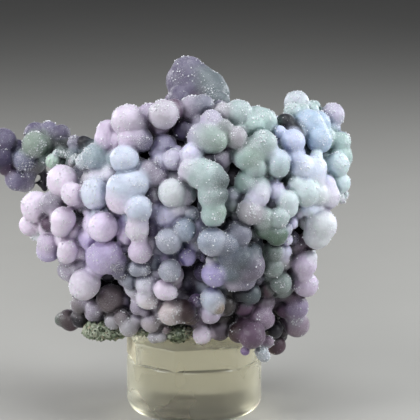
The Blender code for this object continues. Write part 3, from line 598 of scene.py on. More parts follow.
# Smaller grapes behind the front ones, which close most of the gaps between them. The pockets
# (x, z, radius on the sheet) stay open and dark, as the real stone's do.
gapGrapes = {
    "seed": 5,
    "corner": (-29, 16),
    "size": (56, 42),
    "step": 0.7,
    # Layers: radius, how far out, room, and a dimming of the tints that is painted shade
    "layers": ((2.3, -2.6, 0.60, 1.0), (1.8, -3.8, 0.60, 0.85), (1.5, -5.5, 0.62, 0.65)),
    "spread": 0.2,
    "inset": 0.4,
    "neighbours": 3,
    "pockets": (
        (-0.6, 22.5, 3.0), (-0.8, 26.0, 1.6), (-16.5, 23.5, 3.2), (-13.5, 22.0, 2.0), (6.4, 36.5, 1.3),
        (7.1, 44.5, 1.6), (19.5, 34.2, 1.9), (-0.6, 40.3, 1.6), (14.5, 17.0, 2.2), (15.5, 20.0, 1.6),
        (-8.5, 53.2, 1.6), (-3.0, 51.5, 1.8), (-17.2, 24.5, 2.0), (15.2, 54.2, 0.9), (-5.6, 52.2, 2.6),
        (-1.6, 55.0, 2.0), (6.3, 49.0, 1.2), (7.0, 45.5, 1.4), (21.3, 49.5, 1.2),
        (-22.0, 46.0, 1.6), (-21.8, 37.4, 1.7), (-23.0, 39.0, 0.9), (12.7, 32.5, 1.2), (-13.0, 19.5, 1.5),
        (13.3, 23.5, 1.6), (-7.2, 32.0, 0.9), (-9.3, 48.6, 1.3), (-3.4, 45.0, 0.9), (16.3, 44.0, 1.2),
        (24.2, 49.0, 0.8), (25.2, 44.8, 0.9), (-1.0, 29.0, 2.6), (8.0, 17.6, 1.6), (17.6, 27.3, 0.8),
    ),
    "pocketEdge": 0.4,
    "farTries": 900,
    "farRadius": (1.2, 2.0),
    # Painted shade: farShade dims the grapes on the lumps, and deeper makes dimmed tints richer in colour
    "farRoom": 0.62,
    "farShade": 0.65,
    "sink": 0.35,
    "deeper": 0.6,
    "tints": ("purple", "violet", "violetGrey", "darkMauve", "slate"),
}


def frontDepth(x, z):
    u = (x - agate["frontMiddle"][0]) / agate["frontHalfSize"]
    v = (z - agate["frontMiddle"][1]) / agate["frontHalfSize"]
    return agate["frontDepth"] * math.sqrt(max(0.0, 1.0 - u * u - v * v))


# A grape of the sheet, moved along the line of sight with its seen size kept
def seenAt(x, z, radius, toward):
    onSheet = Vector((x, 0.0, z))
    centre = onSheet + (Vector(photoCamera["eye"]) - onSheet).normalized() * toward
    return centre, radius * (1.0 - toward / photoCamera["range"])


def grapeAt(x, z, radius, out):
    return seenAt(x, z, radius, frontDepth(x, z) - agate["seat"] * radius + out)


def onTheSheet(centre):
    eye = Vector(photoCamera["eye"])
    return eye + (centre - eye) * (eye.y / (eye.y - centre.y))


def withinOutline(x, z):
    left = right = above = below = False
    for gx, gz, radius, _, _ in bodyGrapes:
        across = radius * radius - (z - gz) ** 2
        if across > 0.0:
            left = left or gx - math.sqrt(across) <= x
            right = right or gx + math.sqrt(across) >= x
        along = radius * radius - (x - gx) ** 2
        if along > 0.0:
            below = below or gz - math.sqrt(along) <= z
            above = above or gz + math.sqrt(along) >= z
    return left and right and above and below


def isHidden(centre, radius):
    seen = onTheSheet(centre)
    turns = [i * math.pi / 4 for i in range(8)]
    return all(
        withinOutline(seen.x + radius * math.cos(turn), seen.z + radius * math.sin(turn))
        for turn in turns
    )


def hasRoom(centre, radius, grapes, room):
    return all((centre - other).length > room * (radius + size) for other, size in grapes)


def inPocket(x, z, size):
    edge = gapGrapes["pocketEdge"] * size
    return any(math.hypot(x - px, z - pz) < pr + edge for px, pz, pr in gapGrapes["pockets"])


def anyWay(dice):
    return Vector([dice.gauss(0.0, 1.0) for _ in range(3)]).normalized()


def hiddenRadius(dice):
    spread = hiddenGrapes["spread"]
    return hiddenGrapes["radius"] * dice.uniform(1.0 - spread, 1.0 + spread)


def shoulderGrapes(dice, grapes):
    found = []
    low, high = hiddenGrapes["shoulderFrom"], hiddenGrapes["shoulderTo"]
    for _ in range(hiddenGrapes["shoulderTries"]):
        centre = Vector([dice.uniform(a, b) for a, b in zip(low, high)])
        radius = hiddenRadius(dice)
        if not hasRoom(centre, radius, grapes + found, hiddenGrapes["room"]):
            continue
        seen = onTheSheet(centre)
        if -centre.y > frontDepth(seen.x, seen.z) - hiddenGrapes["behindFront"] * radius:
            continue
        inset = radius + hiddenGrapes["taper"] * (centre.y - hiddenGrapes["taperFrom"]) ** 2
        if isHidden(centre, inset) and not isHidden(centre, inset + hiddenGrapes["shoulderBand"]):
            found.append((centre, radius))
    return found


def farGrapes(dice, grapes):
    found = []
    middle = Vector(hiddenGrapes["farMiddle"])
    halfSizes = Vector(hiddenGrapes["farHalfSizes"])
    for _ in range(hiddenGrapes["farTries"]):
        way = anyWay(dice)
        radius = hiddenRadius(dice)
        if way.y < hiddenGrapes["farStart"]:
            continue
        centre = middle + way * halfSizes * dice.uniform(*hiddenGrapes["farDepths"])
        for _ in range(hiddenGrapes["pulls"]):
            if isHidden(centre, radius):
                break
            centre = middle + (centre - middle) * hiddenGrapes["pullIn"]
        if isHidden(centre, radius) and hasRoom(centre, radius, grapes + found, hiddenGrapes["room"]):
            found.append((centre, radius))
    return found


# Tint names for hidden grapes, each from a front grape near by
def hiddenNames(hidden, front, names):
    dice = random.Random(hiddenGrapes["seed"])
    flatten = hiddenGrapes["flatten"]
    flatFront = [Vector((centre.x, flatten * centre.y, centre.z)) for centre, _ in front]
    found = []
    for centre, _ in hidden:
        place = Vector((centre.x, flatten * centre.y, centre.z))
        order = sorted(range(len(front)), key=lambda i: (flatFront[i] - place).length)
        found.append(names[dice.choice(order[:hiddenGrapes["neighbours"]])])
    return found


# A smaller grape grown onto most of the hidden ones
def partnerGrapes(hidden, hiddenTints):
    dice = random.Random(partners["seed"])
    found, names = [], []
    for (centre, radius), name in zip(hidden, hiddenTints):
        way = anyWay(dice)
        size = radius * dice.uniform(*partners["radius"])
        place = centre + way * radius * partners["reach"]
        seen = onTheSheet(place)
        if place.y < 0.0 and inPocket(seen.x, seen.z, size):
            continue
        if dice.random() < partners["share"] and isHidden(place, size + partners["inset"]):
            found.append((place, size))
            names.append(name)
    return found, names


# Three layers of smaller grapes in the gaps, each deeper than the one before and darker by painted shade
def layerGrapes(dice, grapes):
    found, names, shades = [], [], []
    sheet = leftArm + bodyGrapes
    (left, low), (wide, tall), step = gapGrapes["corner"], gapGrapes["size"], gapGrapes["step"]
    columns, rows = int(wide / step), int(tall / step)
    spread = gapGrapes["spread"]
    for radius, out, room, dim in gapGrapes["layers"]:
        tries = [(left + step * i, low + step * j) for i in range(columns) for j in range(rows)]
        dice.shuffle(tries)
        for x, z in tries:
            size = radius * dice.uniform(1.0 - spread, 1.0 + spread)
            if inPocket(x, z, size):
                continue
            centre, size = grapeAt(x, z, size, out)
            if isHidden(centre, size + gapGrapes["inset"]) and hasRoom(centre, size, grapes + found, room):
                order = sorted(range(len(sheet)), key=lambda i: math.dist(sheet[i][:2], (x, z)))
                found.append((centre, size))
                names.append(sheet[dice.choice(order[:gapGrapes["neighbours"]])][4])
                shades.append(dim)
    stage(f"{len(found)} grapes between the front ones")
    return found, names, shades


# Small grapes on the lumps, wherever those still show; their tints are darkened later as painted shade
def lumpGrapes(dice, grapes):
    found, names = [], []
    for _ in range(gapGrapes["farTries"]):
        middle, halfSizes = dice.choice(stoneLumps)
        way = anyWay(dice)
        radius = dice.uniform(*gapGrapes["farRadius"])
        centre = Vector(middle) + way * Vector(halfSizes) - way * gapGrapes["sink"] * radius
        if hasRoom(centre, radius, grapes + found, gapGrapes["farRoom"]):
            found.append((centre, radius))
            names.append(dice.choice(gapGrapes["tints"]))
    return found, names


# Grapes over the plate rest on it, and those beside it may hang lower
def lifted(centre, radius):
    if math.hypot(centre.x, centre.y) > agate["plateReach"] + radius:
        return centre
    lowest = agate["liftFrom"] + agate["liftShare"] * radius
    return Vector((centre.x, centre.y, max(centre.z, lowest)))


def screenColour(rgb):
    values = [c / 255.0 for c in rgb]
    return [c / 12.92 if c <= 0.04045 else ((c + 0.055) / 1.055) ** 2.4 for c in values]


def placeGrapes():
    front = [seenAt(*grape[:4]) for grape in leftArm] + [grapeAt(*grape[:4]) for grape in bodyGrapes]
    names = [grape[4] for grape in leftArm + bodyGrapes]
    dice = random.Random(hiddenGrapes["seed"])
    hidden = shoulderGrapes(dice, front)
    hidden += farGrapes(dice, front + hidden)
    hiddenTints = hiddenNames(hidden, front, names)
    grown, grownTints = partnerGrapes(hidden, hiddenTints)
    joins = [seenAt(*grape[:4]) for grape in armJoins] + [grapeAt(*grape[:4]) for grape in joinGrapes]
    grapes = front + hidden + grown + joins
    names += hiddenTints + grownTints + [grape[4] for grape in armJoins + joinGrapes]

    dice = random.Random(gapGrapes["seed"])
    layered, layerNames, layerShades = layerGrapes(dice, grapes)
    small, smallNames = lumpGrapes(dice, grapes + layered)
    shades = np.array([1.0] * len(grapes) + layerShades + [gapGrapes["farShade"]] * len(small))
    grapes += layered + small
    names += layerNames + smallNames
    stage(f"{len(grapes)} grapes placed, {len(layered) + len(small)} of them deep in the gaps")

    centres = np.array([lifted(centre, radius)[:] for centre, radius in grapes])
    radii = np.array([radius for _, radius in grapes])
    colours = np.array([screenColour(tints[name]) for name in names])
    # Painted shade: dimmed grapes get darker, richer tints
    shadeRicher = 1.0 + gapGrapes["deeper"] * (1.0 - shades)
    return centres, radii, colours ** shadeRicher[:, None] * shades[:, None]


# Balls and eggs that make the stone, in millimetres, with their colours
stone = {}


def setStone():
    stone["centres"], stone["radii"], colours = placeGrapes()
    stone["eggs"] = np.array([middle for middle, _ in lumps])
    stone["eggSizes"] = np.array([halfSizes for _, halfSizes in lumps])
    eggColours = np.array([screenColour(tints[name]) for name in lumpTints])
    stone["colours"] = np.concatenate([colours, eggColours])


# Gap from each point to each ball or egg, and the straight way out of it
def gapsTo(points, balls, eggs):
    away = points[:, None, :] - stone["centres"][None, balls, :]
    reach = np.linalg.norm(away, axis=2)
    gap = reach - stone["radii"][None, balls]
    ways = away / np.maximum(reach, 1e-6)[:, :, None]
    eggAway = points[:, None, :] - stone["eggs"][None, eggs, :]
    sizes = stone["eggSizes"][None, eggs]
    first = np.linalg.norm(eggAway / sizes, axis=2)
    eggWays = eggAway / sizes ** 2
    second = np.linalg.norm(eggWays, axis=2)
    eggGap = first * (first - 1.0) / np.maximum(second, 1e-6)
    eggWays = eggWays / np.maximum(second, 1e-6)[:, :, None]
    return np.concatenate([gap, eggGap], axis=1), np.concatenate([ways, eggWays], axis=1)


# Signed distance to the grown-together skin, and the way out
def skinDistance(points, balls, eggs):
    gaps, ways = gapsTo(points, balls, eggs)
    nearest = gaps.min(axis=1)
    shares = np.exp(-(gaps - nearest[:, None]) / agate["blend"])
    total = shares.sum(axis=1)
    way = (shares[:, :, None] * ways).sum(axis=1)
    way /= np.maximum(np.linalg.norm(way, axis=1), 1e-6)[:, None]
    return nearest - agate["blend"] * np.log(total), way


def skinColour(points, balls, eggs):
    gaps, _ = gapsTo(points, balls, eggs)
    shares = np.exp(-((gaps - gaps.min(axis=1)[:, None]) / agate["tintBlend"]) ** 2)
    shares /= shares.sum(axis=1)[:, None]
    picked = np.concatenate([balls, eggs + len(stone["radii"])])
    return (shares @ stone["colours"][picked],)


# Does the work cell by cell, each with only the balls and eggs around it
def cellByCell(points, work, cell=4.0, margin=3.5):
    reach = margin + 0.87 * cell  # 0.87 cells from the middle to a corner
    keys = np.floor(points / cell).astype(np.int64)
    _, inverse = np.unique(keys, axis=0, return_inverse=True)
    order = np.argsort(inverse.ravel(), kind="stable")
    splits = np.flatnonzero(np.diff(inverse.ravel()[order])) + 1
    results = None
    for members in np.split(order, splits):
        middle = (np.floor(points[members[0]] / cell) + 0.5) * cell
        near = np.linalg.norm(stone["centres"] - middle, axis=1) - stone["radii"]
        balls = np.flatnonzero(near < max(reach, near.min() + 1.0))
        scaled = np.linalg.norm((middle - stone["eggs"]) / stone["eggSizes"], axis=1)
        eggs = np.flatnonzero((scaled - 1.0) * stone["eggSizes"].min(axis=1) < reach)
        parts = work(points[members], balls, eggs)
        if results is None:
            results = [np.zeros((len(points), *part.shape[1:])) for part in parts]
        for result, part in zip(results, parts):
            result[members] = part
    return results


def ballTemplate(levels):
    bm = bmesh.new()
    bmesh.ops.create_icosphere(bm, subdivisions=levels, radius=1.0)
    points = np.array([v.co[:] for v in bm.verts])
    faces = np.array([[v.index for v in face.verts] for face in bm.faces])
    bm.free()
    return points, faces


def joinedBalls(centres, halfSizes, levels):
    points, faces = ballTemplate(levels)
    allPoints = centres[:, None, :] + points[None, :, :] * halfSizes[:, None, :]
    return allPoints.reshape(-1, 3), repeatedFaces(faces, len(centres), len(points))


# Deletes loose bits of the skin and gives the number of their points
def dropLooseBits(mesh):
    edges = np.zeros(len(mesh.edges) * 2, np.int64)
    mesh.edges.foreach_get("vertices", edges)
    starts, ends = edges.reshape(-1, 2).T
    label = np.arange(len(mesh.vertices))
    before = None
    while before is None or (label != before).any():
        before = label.copy()
        low = np.minimum(label[starts], label[ends])
        np.minimum.at(label, starts, low)
        np.minimum.at(label, ends, low)
        label = label[label]
    loose = np.flatnonzero(label != np.bincount(label).argmax())
    bm = bmesh.new()
    bm.from_mesh(mesh)
    bm.verts.ensure_lookup_table()
    bmesh.ops.delete(bm, geom=[bm.verts[i] for i in loose], context="VERTS")
    bm.to_mesh(mesh)
    bm.free()
    return len(loose)


def drawnOntoGrapes(points):
    most = agate["furthestPull"]
    for _ in range(2):
        distance, way = cellByCell(points, skinDistance)
        points = points - way * np.clip(distance + agate["shrink"], -most, most)[:, None]
    return points, way


def grownTogether():
    ballSizes = np.repeat(stone["radii"][:, None], 3, axis=1)
    ballPoints, ballFaces = joinedBalls(stone["centres"], ballSizes, agate["ballLevels"])
    eggPoints, eggFaces = joinedBalls(stone["eggs"], stone["eggSizes"], agate["lumpLevels"])
    allPoints = np.concatenate([ballPoints, eggPoints])
    allFaces = np.concatenate([ballFaces, eggFaces + len(ballPoints)])
    raw = addObject("rawSkin", meshFromArrays("rawSkin", allPoints, allFaces))
    remesh = raw.modifiers.new("Grown together", "REMESH")
    remesh.mode = "VOXEL"
    remesh.voxel_size = agate["voxel"] * mm
    return appliedMesh(raw, "wholeSkin")


# Fewer triangles, down to the count in agate's triangles
def thinned(skin):
    whole = addObject("wholeSkin", skin)
    thin = whole.modifiers.new("Thinner", "DECIMATE")
    thin.ratio = agate["triangles"] / (2 * len(skin.polygons))
    return appliedMesh(whole, "grapeAgateSkin")


def swellAt(points):
    (soft, softWidth), (fine, fineWidth) = agate["swells"]
    return soft * noiseAt(points, softWidth) + fine * noiseAt(points, fineWidth)


# The points moved out by the swells, and the normals there
def swollen(points, way):
    swell, step = swellAt(points), agate["slopeStep"]
    slope = np.stack([(swellAt(points + step * axis) - swell) / step for axis in np.eye(3)], axis=1)
    normals = way - (slope - way * (slope * way).sum(axis=1)[:, None])
    normals /= np.linalg.norm(normals, axis=1)[:, None]
    return points + way * swell[:, None], normals


def overPlate(points):
    return np.hypot(points[:, 0], points[:, 1]) < agate["plateReach"] + agate["plateMargin"]


def insideBox(points):
    low, high = [np.array(corner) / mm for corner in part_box("grape_agate")]
    return np.clip(points, low, high)


# Tints are read a little aside of each point, so that their edges waver, the same way each run
def tintAt(points):
    drift, width = agate["tintDrift"]
    noise.seed_set(agate["driftSeed"])
    aside = np.array([noise.noise_vector(Vector(point) / width)[:] for point in points.tolist()])
    return cellByCell(points + aside * drift, skinColour)[0]


# From 0 in a crevice to 1 where the skin stands free. The skin's material paints shade where it is low.
def opennessAt(points, way):
    shares = [cellByCell(points + way * reach, skinDistance)[0] / reach for reach in agate["openReach"]]
    return sum(0.5 * np.clip(share, 0.0, 1.0) for share in shares)


# More sugar on what is pale and stands free, in patches
def sugarAt(points, tint, openness):
    paleness = np.clip((tint.mean(axis=1) - 0.05) / 0.3, 0.06, 1.0)
    patches = np.clip(0.6 + 1.6 * noiseAt(points, agate["sugarPatch"]), 0.05, 1.6)
    return openness * paleness * patches


def makeAgateSkin():
    setStone()
    skin = grownTogether()
    dropped = dropLooseBits(skin)
    stage(f"skin of {len(skin.polygons)} faces, {dropped} loose points dropped")
    setPoints(skin, drawnOntoGrapes(pointsOf(skin))[0])
    skin = thinned(skin)
    points, way = drawnOntoGrapes(pointsOf(skin))
    stage(f"skin drawn onto the grapes, {len(skin.polygons)} triangles")

    points, normals = swollen(points, way)
    points[overPlate(points) & (points[:, 2] < agate["floorZ"]), 2] = agate["floorZ"]
    points = insideBox(points)
    setPoints(skin, points)

    tint = tintAt(points)
    openness = opennessAt(points, way)
    sugared = sugarAt(points, tint, openness)
    setTint(skin, tint)
    setAmount(skin, "openness", openness)
    setAmount(skin, "sugared", sugared)
    skin.shade_smooth()
    skin.normals_split_custom_set_from_vertices(normals.tolist())
    stage("tints and openness set")
    piece = addObject("grapeAgate", skin)
    skin.materials.append(agateMaterial())
    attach(piece, "root")
    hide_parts("grape_agate")
    return points, way, tint, sugared


agateFinish = {
    "cloudScale": 420.0,
    "clouds": (0.86, 1.10),
    # Painted shade in the crevices: how dark, and how much richer in colour
    "creviceShadeDark": 0.62,
    "creviceShadeRich": 1.5,
    "powder": (0.80, 0.78, 0.84),
    "powderAmount": 0.4,
    "grainScale": 5200.0,
    "roughness": (0.34, 0.5),
    "sugarScale": 2600.0,
    "crustScale": 1500.0,
    "bump": (0.5, 0.00011),
    "wax": {
        "Sheen Weight": 0.5,
        "Sheen Roughness": 0.28,
        "Sheen Tint": (0.92, 0.90, 0.98, 1.0),
        "Subsurface Weight": 0.25,
        "Subsurface Radius": (1.2, 0.7, 1.1),
        "Subsurface Scale": 0.0011,
    },
}


def agateMaterial():
    finish = agateFinish
    material, tree, shader = newMaterial("waxyAgate", finish["wax"])
    tint, bare, sugared = [
        addNode(tree, "ShaderNodeAttribute", attribute_name=name) for name in ("tint", "openness", "sugared")
    ]

    # Cloudy zones inside the stone
    clouds = noiseNode(tree, finish["cloudScale"], detail=4.0, roughness=0.6)
    clouded = scaleNode(tree, tint, rangeNode(tree, clouds, (0.3, 0.7), finish["clouds"]))

    # Painted shade: crevices, where openness is low, are darker and richer in colour
    paintedShade = rangeNode(tree, bare, (0.05, 0.75), (finish["creviceShadeDark"], 1.0), "SMOOTHSTEP")
    shadeRicher = rangeNode(tree, bare, (0.05, 0.6), (finish["creviceShadeRich"], 1.0), "SMOOTHSTEP")
    shadeGamma = addNode(tree, "ShaderNodeGamma")
    link(tree, clouded, "Vector", shadeGamma, "Color")
    link(tree, shadeRicher, "Result", shadeGamma, "Gamma")
    shadedTint = scaleNode(tree, shadeGamma, paintedShade)

    # Sugary powder on what stands free, in fine grains
    fine = noiseNode(tree, finish["grainScale"])
    dusting = rangeNode(tree, fine, (0.46, 0.62), (0.0, finish["powderAmount"]), "SMOOTHSTEP")
    dustOpen = addNode(tree, "ShaderNodeMath", operation="MULTIPLY")
    link(tree, dusting, "Result", dustOpen, 0)
    link(tree, sugared, "Fac", dustOpen, 1)
    powder = addNode(tree, "ShaderNodeMix", data_type="RGBA")
    powder.inputs[7].default_value = (*finish["powder"], 1.0)
    link(tree, dustOpen, 0, powder, 0)
    link(tree, shadedTint, 0, powder, 6)
    link(tree, powder, 2, shader, "Base Color")
    shine = rangeNode(tree, fine, (0.0, 1.0), finish["roughness"])
    link(tree, shine, "Result", shader, "Roughness")

    # Powder, crusted patches and round grains in relief
    crusted = noiseNode(tree, finish["crustScale"])
    grains = textureNode(tree, "ShaderNodeTexVoronoi", Scale=finish["sugarScale"])
    rough = timesPlusNode(tree, crusted, "Fac", 2.0)
    link(tree, fine, "Fac", rough, 2)
    heights = timesPlusNode(tree, grains, "Distance", 0.6)
    link(tree, rough, 0, heights, 2)
    addBump(tree, shader, heights, *finish["bump"])
    return material


# Quartz sugar on the skin: many fine grains, fewer larger points that catch the light, and white crumbs.
# Their whitened tints are partly the quartz's own pale colour and partly painted glints.
sugar = {
    "fineSugar": {"seed": 3, "count": 46000, "size": (0.035, 0.09), "whiteAndGlint": 0.6, "gather": 1.0},
    "sugarPoints": {"seed": 8, "count": 8000, "size": (0.06, 0.26), "whiteAndGlint": 0.95, "gather": 2.5},
    "whiteCrumbs": {"seed": 12, "count": 1000, "size": (0.10, 0.30), "whiteAndGlint": 0.7, "gather": 0.3},
    "proud": 0.2,
    "scatter": 0.14,
    "clusterSize": 1.1,
    "clusterPower": 3.0,
    "upperSides": 1.2,
    "facing": 0.15,
    "white": (0.94, 0.95, 0.98),
    "frostScale": 3000.0,
    "roughness": (0.16, 0.42),
    "ior": 1.54,
}

# The white crumbs lie in patches only: x, z and radius on the sheet, share
crumbPatches = (
    (-25.4, 49.2, 0.7, 2.0), (-24.5, 48.9, 0.7, 2.0), (-23.4, 48.8, 0.7, 2.0), (-22.4, 48.4, 0.7, 2.0),
    (-21.3, 48.0, 0.8, 2.0), (-20.7, 47.3, 0.8, 2.0), (-20.4, 46.6, 0.8, 2.0), (-26.5, 52.1, 0.5, 1.5),
    (-22.8, 51.6, 0.7, 1.5), (-28.6, 50.6, 1.3, 0.7), (-30.4, 49.6, 1.2, 0.8), (-31.0, 52.4, 0.9, 0.7),
    (-31.4, 45.8, 1.3, 0.8), (-29.9, 47.2, 0.8, 0.8), (-35.0, 49.6, 0.8, 0.8), (-26.4, 47.5, 0.8, 0.8),
    (-8.1, 20.7, 1.5, 2.0), (-7.4, 20.2, 0.9, 2.0), (-14.4, 27.4, 1.3, 0.8), (-13.0, 25.4, 0.9, 0.9),
    (-9.3, 26.6, 0.9, 0.5), (19.4, 23.2, 1.1, 0.6), (19.7, 16.9, 1.2, 0.4), (28.0, 40.8, 1.2, 0.9),
    (9.0, 54.2, 0.8, 0.9), (18.2, 57.4, 1.4, 0.4), (-21.2, 42.9, 1.0, 0.6), (12.7, 52.5, 1.3, 0.4),
    (12.9, 10.6, 1.6, 0.8), (-3.6, 18.3, 1.0, 0.4), (26.0, 54.6, 1.2, 0.4), (3.0, 47.2, 1.6, 0.3),
    (0.6, 62.6, 4.2, 0.10), (3.4, 60.4, 1.8, 0.25), (0.2, 65.4, 1.6, 0.2), (-7.0, 58.2, 1.8, 0.2),
)


def sugarMaterial():
    material, tree, shader = newMaterial("sugarQuartz", {"IOR": sugar["ior"]})
    shade = addNode(tree, "ShaderNodeAttribute", attribute_name="tint")
    link(tree, shade, "Color", shader, "Base Color")
    frost = rangeNode(tree, noiseNode(tree, sugar["frostScale"]), (0.0, 1.0), sugar["roughness"])
    link(tree, frost, "Result", shader, "Roughness")
    return material


# How far inside the patches each point lies, as the camera sees them
def inPatches(points, way):
    eye = np.array(photoCamera["eye"])
    seen = eye + (points - eye) * (eye[1] / (eye[1] - points[:, 1]))[:, None]
    inside = np.zeros(len(points))
    for x, z, radius, share in crumbPatches:
        away = np.hypot(seen[:, 0] - x, seen[:, 2] - z) / radius
        inside += share * np.clip(1.0 - away ** 2, 0.0, 1.0)
    toward = (eye - points) / np.linalg.norm(eye - points, axis=1)[:, None]
    return inside * ((toward * way).sum(axis=1) > sugar["facing"])


# The larger points stand in clusters
def clusters(points):
    return np.clip(0.35 + noiseAt(points, sugar["clusterSize"]), 0.04, 1.0) ** sugar["clusterPower"]


# Grains with four corners, each turned its own way
def turnedGrains(dice, sizes):
    corners = np.array([(1, 1, 1), (1, -1, -1), (-1, 1, -1), (-1, -1, 1)]) / math.sqrt(3.0)
    turns = dice.normal(size=(len(sizes), 4))
    turns /= np.linalg.norm(turns, axis=1)[:, None]
    w, x, y, z = turns.T
    spin = np.stack([
        1 - 2 * (y * y + z * z), 2 * (x * y - z * w), 2 * (x * z + y * w),
        2 * (x * y + z * w), 1 - 2 * (x * x + z * z), 2 * (y * z - x * w),
        2 * (x * z - y * w), 2 * (y * z + x * w), 1 - 2 * (x * x + y * y),
    ], axis=1).reshape(-1, 3, 3)
    return np.einsum("nij,kj->nki", spin, corners) * sizes[:, None, None]


def makeSugar(name, material, points, way, tint, sugared):
    grains = sugar[name]
    dice = np.random.default_rng(grains["seed"])
    weight = 0.01 + sugared ** grains["gather"]
    # The larger points gather in clusters and on upper sides, where their white stands in for glints
    if name == "sugarPoints":
        weight *= clusters(points) * np.exp(sugar["upperSides"] * way[:, 2])
    if name == "whiteCrumbs":
        weight *= inPatches(points, way)
    count = min(grains["count"], np.count_nonzero(weight))
    chances = np.log(dice.random(len(points))) / np.maximum(weight, 1e-9)
    picked = np.sort(np.argsort(chances)[-count:])
    small, large = grains["size"]
    sizes = small + (large - small) * dice.random(count) ** 2
    turned = turnedGrains(dice, sizes)
    corners = turned.shape[1]
    aside = dice.normal(size=(count, 3)) * sugar["scatter"]
    aside -= way[picked] * (aside * way[picked]).sum(axis=1)[:, None]
    base = points[picked] + aside + way[picked] * (sizes * sugar["proud"])[:, None]
    sides = np.array([(0, 1, 2), (0, 3, 1), (0, 2, 3), (1, 3, 2)])
    allPoints = insideBox((base[:, None, :] + turned).reshape(-1, 3))
    mesh = meshFromArrays(name, allPoints, repeatedFaces(sides, count, corners))
    # Whitened tints: partly the quartz's pale colour, partly painted glints
    whiteAndGlint = grains["whiteAndGlint"]
    shades = tint[picked] * (1.0 - whiteAndGlint) + np.array(sugar["white"]) * whiteAndGlint
    setTint(mesh, np.repeat(shades, corners, axis=0))
    mesh.materials.append(material)
    piece = addObject(name, mesh)
    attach(piece, "root")
    stage(f"{name}, {count} grains")


# Green crumbs of the rock that the stone grew on, low on the left and under the middle. They lie on
# these lumps, each with its share of the crumbs.
crust = {
    "seed": 21,
    "count": 5200,
    "size": (0.14, 0.5),
    "sizeSpread": (0.5, 1.0),
    "lumps": (
        ((-17.9, -1.6, 15.5), (2.7, 2.4, 1.5)), ((-15.2, -2.2, 15.4), (2.6, 2.2, 1.0)),
        ((-14.6, 0.5, 16.6), (3.4, 3.4, 1.5)), ((-9.0, 0.0, 16.6), (5.0, 6.0, 1.9)),
        ((-3.0, -5.5, 16.4), (2.6, 3.0, 1.75)), ((6.0, 0.0, 17.0), (7.0, 7.0, 2.3)),
    ),
    "shares": (0.30, 0.22, 0.14, 0.12, 0.12, 0.10),
    "tints": ((176, 182, 162), (146, 156, 134), (108, 120, 96), (62, 70, 52), (160, 154, 132)),
    "tintShares": (0.26, 0.3, 0.2, 0.12, 0.12),
    "tintSpread": (0.8, 1.2),
    "stretch": 0.35,
    "long": (0.5, 1.9),
    "bury": 0.96,
    "rough": 0.22,
    "roughScale": 3.0,
    "gritScale": 4200.0,
    "grit": (0.7, 1.25),
    "roughness": 0.75,
}


def crustMaterial():
    material, tree, shader = newMaterial("crumblyCrust", {"Roughness": crust["roughness"]})
    shade = addNode(tree, "ShaderNodeAttribute", attribute_name="tint")
    grit = noiseNode(tree, crust["gritScale"], detail=3.0)
    gritty = scaleNode(tree, shade, rangeNode(tree, grit, (0.0, 1.0), crust["grit"]))
    link(tree, gritty, "Vector", shader, "Base Color")
    return material


def makeCrust():
    dice = np.random.default_rng(crust["seed"])
    count = crust["count"]
    places = dice.choice(len(crust["lumps"]), count, p=crust["shares"])
    middles, halfSizes = np.array(crust["lumps"])[places].transpose(1, 0, 2)
    ways = dice.normal(size=(count, 3))
    ways /= np.linalg.norm(ways, axis=1)[:, None]
    sizes = dice.uniform(*crust["size"], count) * dice.uniform(*crust["sizeSpread"], count)
    roughScale = crust["roughScale"]
    swell = np.array([noise.noise(Vector(w) * roughScale + Vector(m)) for w, m in zip(ways, middles)])
    centres = middles + ways * (halfSizes * (crust["bury"] + crust["rough"] * swell[:, None]))
    ball, faces = ballTemplate(1)
    bent = dice.uniform(1.0 - crust["stretch"], 1.0 + crust["stretch"], (count, len(ball), 1))
    long = dice.uniform(*crust["long"], (count, 1, 3))
    allPoints = centres[:, None, :] + ball[None] * bent * long * sizes[:, None, None]
    allPoints = insideBox(allPoints.reshape(-1, 3))
    over = overPlate(allPoints)
    allPoints[over, 2] = np.maximum(allPoints[over, 2], agate["floorZ"])
    mesh = meshFromArrays("greenCrust", allPoints, repeatedFaces(faces, count, len(ball)))
    picked = dice.choice(len(crust["tints"]), count, p=crust["tintShares"])
    shades = np.array([screenColour(rgb) for rgb in crust["tints"]])[picked]
    shades = shades * dice.uniform(*crust["tintSpread"], (count, 1))
    setTint(mesh, np.repeat(shades, len(ball), axis=0))
    mesh.materials.append(crustMaterial())
    piece = addObject("greenCrust", mesh)
    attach(piece, "root")
    stage(f"crust of {count} crumbs")


# The clear stand. Lengths in mm.
stand = {
    "sides": 160,
    "footRound": 2.7,
    "rimSlope": (0.62, 0.8),
    "plateCorners": ((-10.9, -6.7), (-3.5, -12.2), (8.2, -10.2), (12.8, -2.6)),
    "plateEdge": 0.25,
    "plateSunk": 0.4,
    "tint": (0.80, 0.76, 0.55),
    "ior": 1.49,
    "smearScale": 120.0,
    "haze": (0.20, 0.36),
    "bump": (0.02, 0.00002),
    "lightThrough": 0.65,
    "sawnLitTints": ((0.70, 0.62, 0.40), (0.94, 0.88, 0.66)),
    "sawScale": 1400.0,
    "sawBump": (0.4, 0.0001),
}


def acrylicMaterial():
    material, tree, shader = newMaterial("clearAcrylic", {
        "Base Color": (*stand["tint"], 1.0), "Transmission Weight": 1.0, "IOR": stand["ior"],
    })
    smear = noiseNode(tree, stand["smearScale"])
    haze = rangeNode(tree, smear, (0.0, 1.0), stand["haze"])
    link(tree, haze, "Result", shader, "Roughness")
    addBump(tree, shader, smear, *stand["bump"])
    # Clear plastic lets most of the light through to the table, so its shadow is a weak one
    rays = addNode(tree, "ShaderNodeLightPath")
    solid = timesPlusNode(tree, rays, "Is Shadow Ray", -stand["lightThrough"])
    solid.inputs[2].default_value = 1.0
    link(tree, solid, 0, shader, "Alpha")
    return material


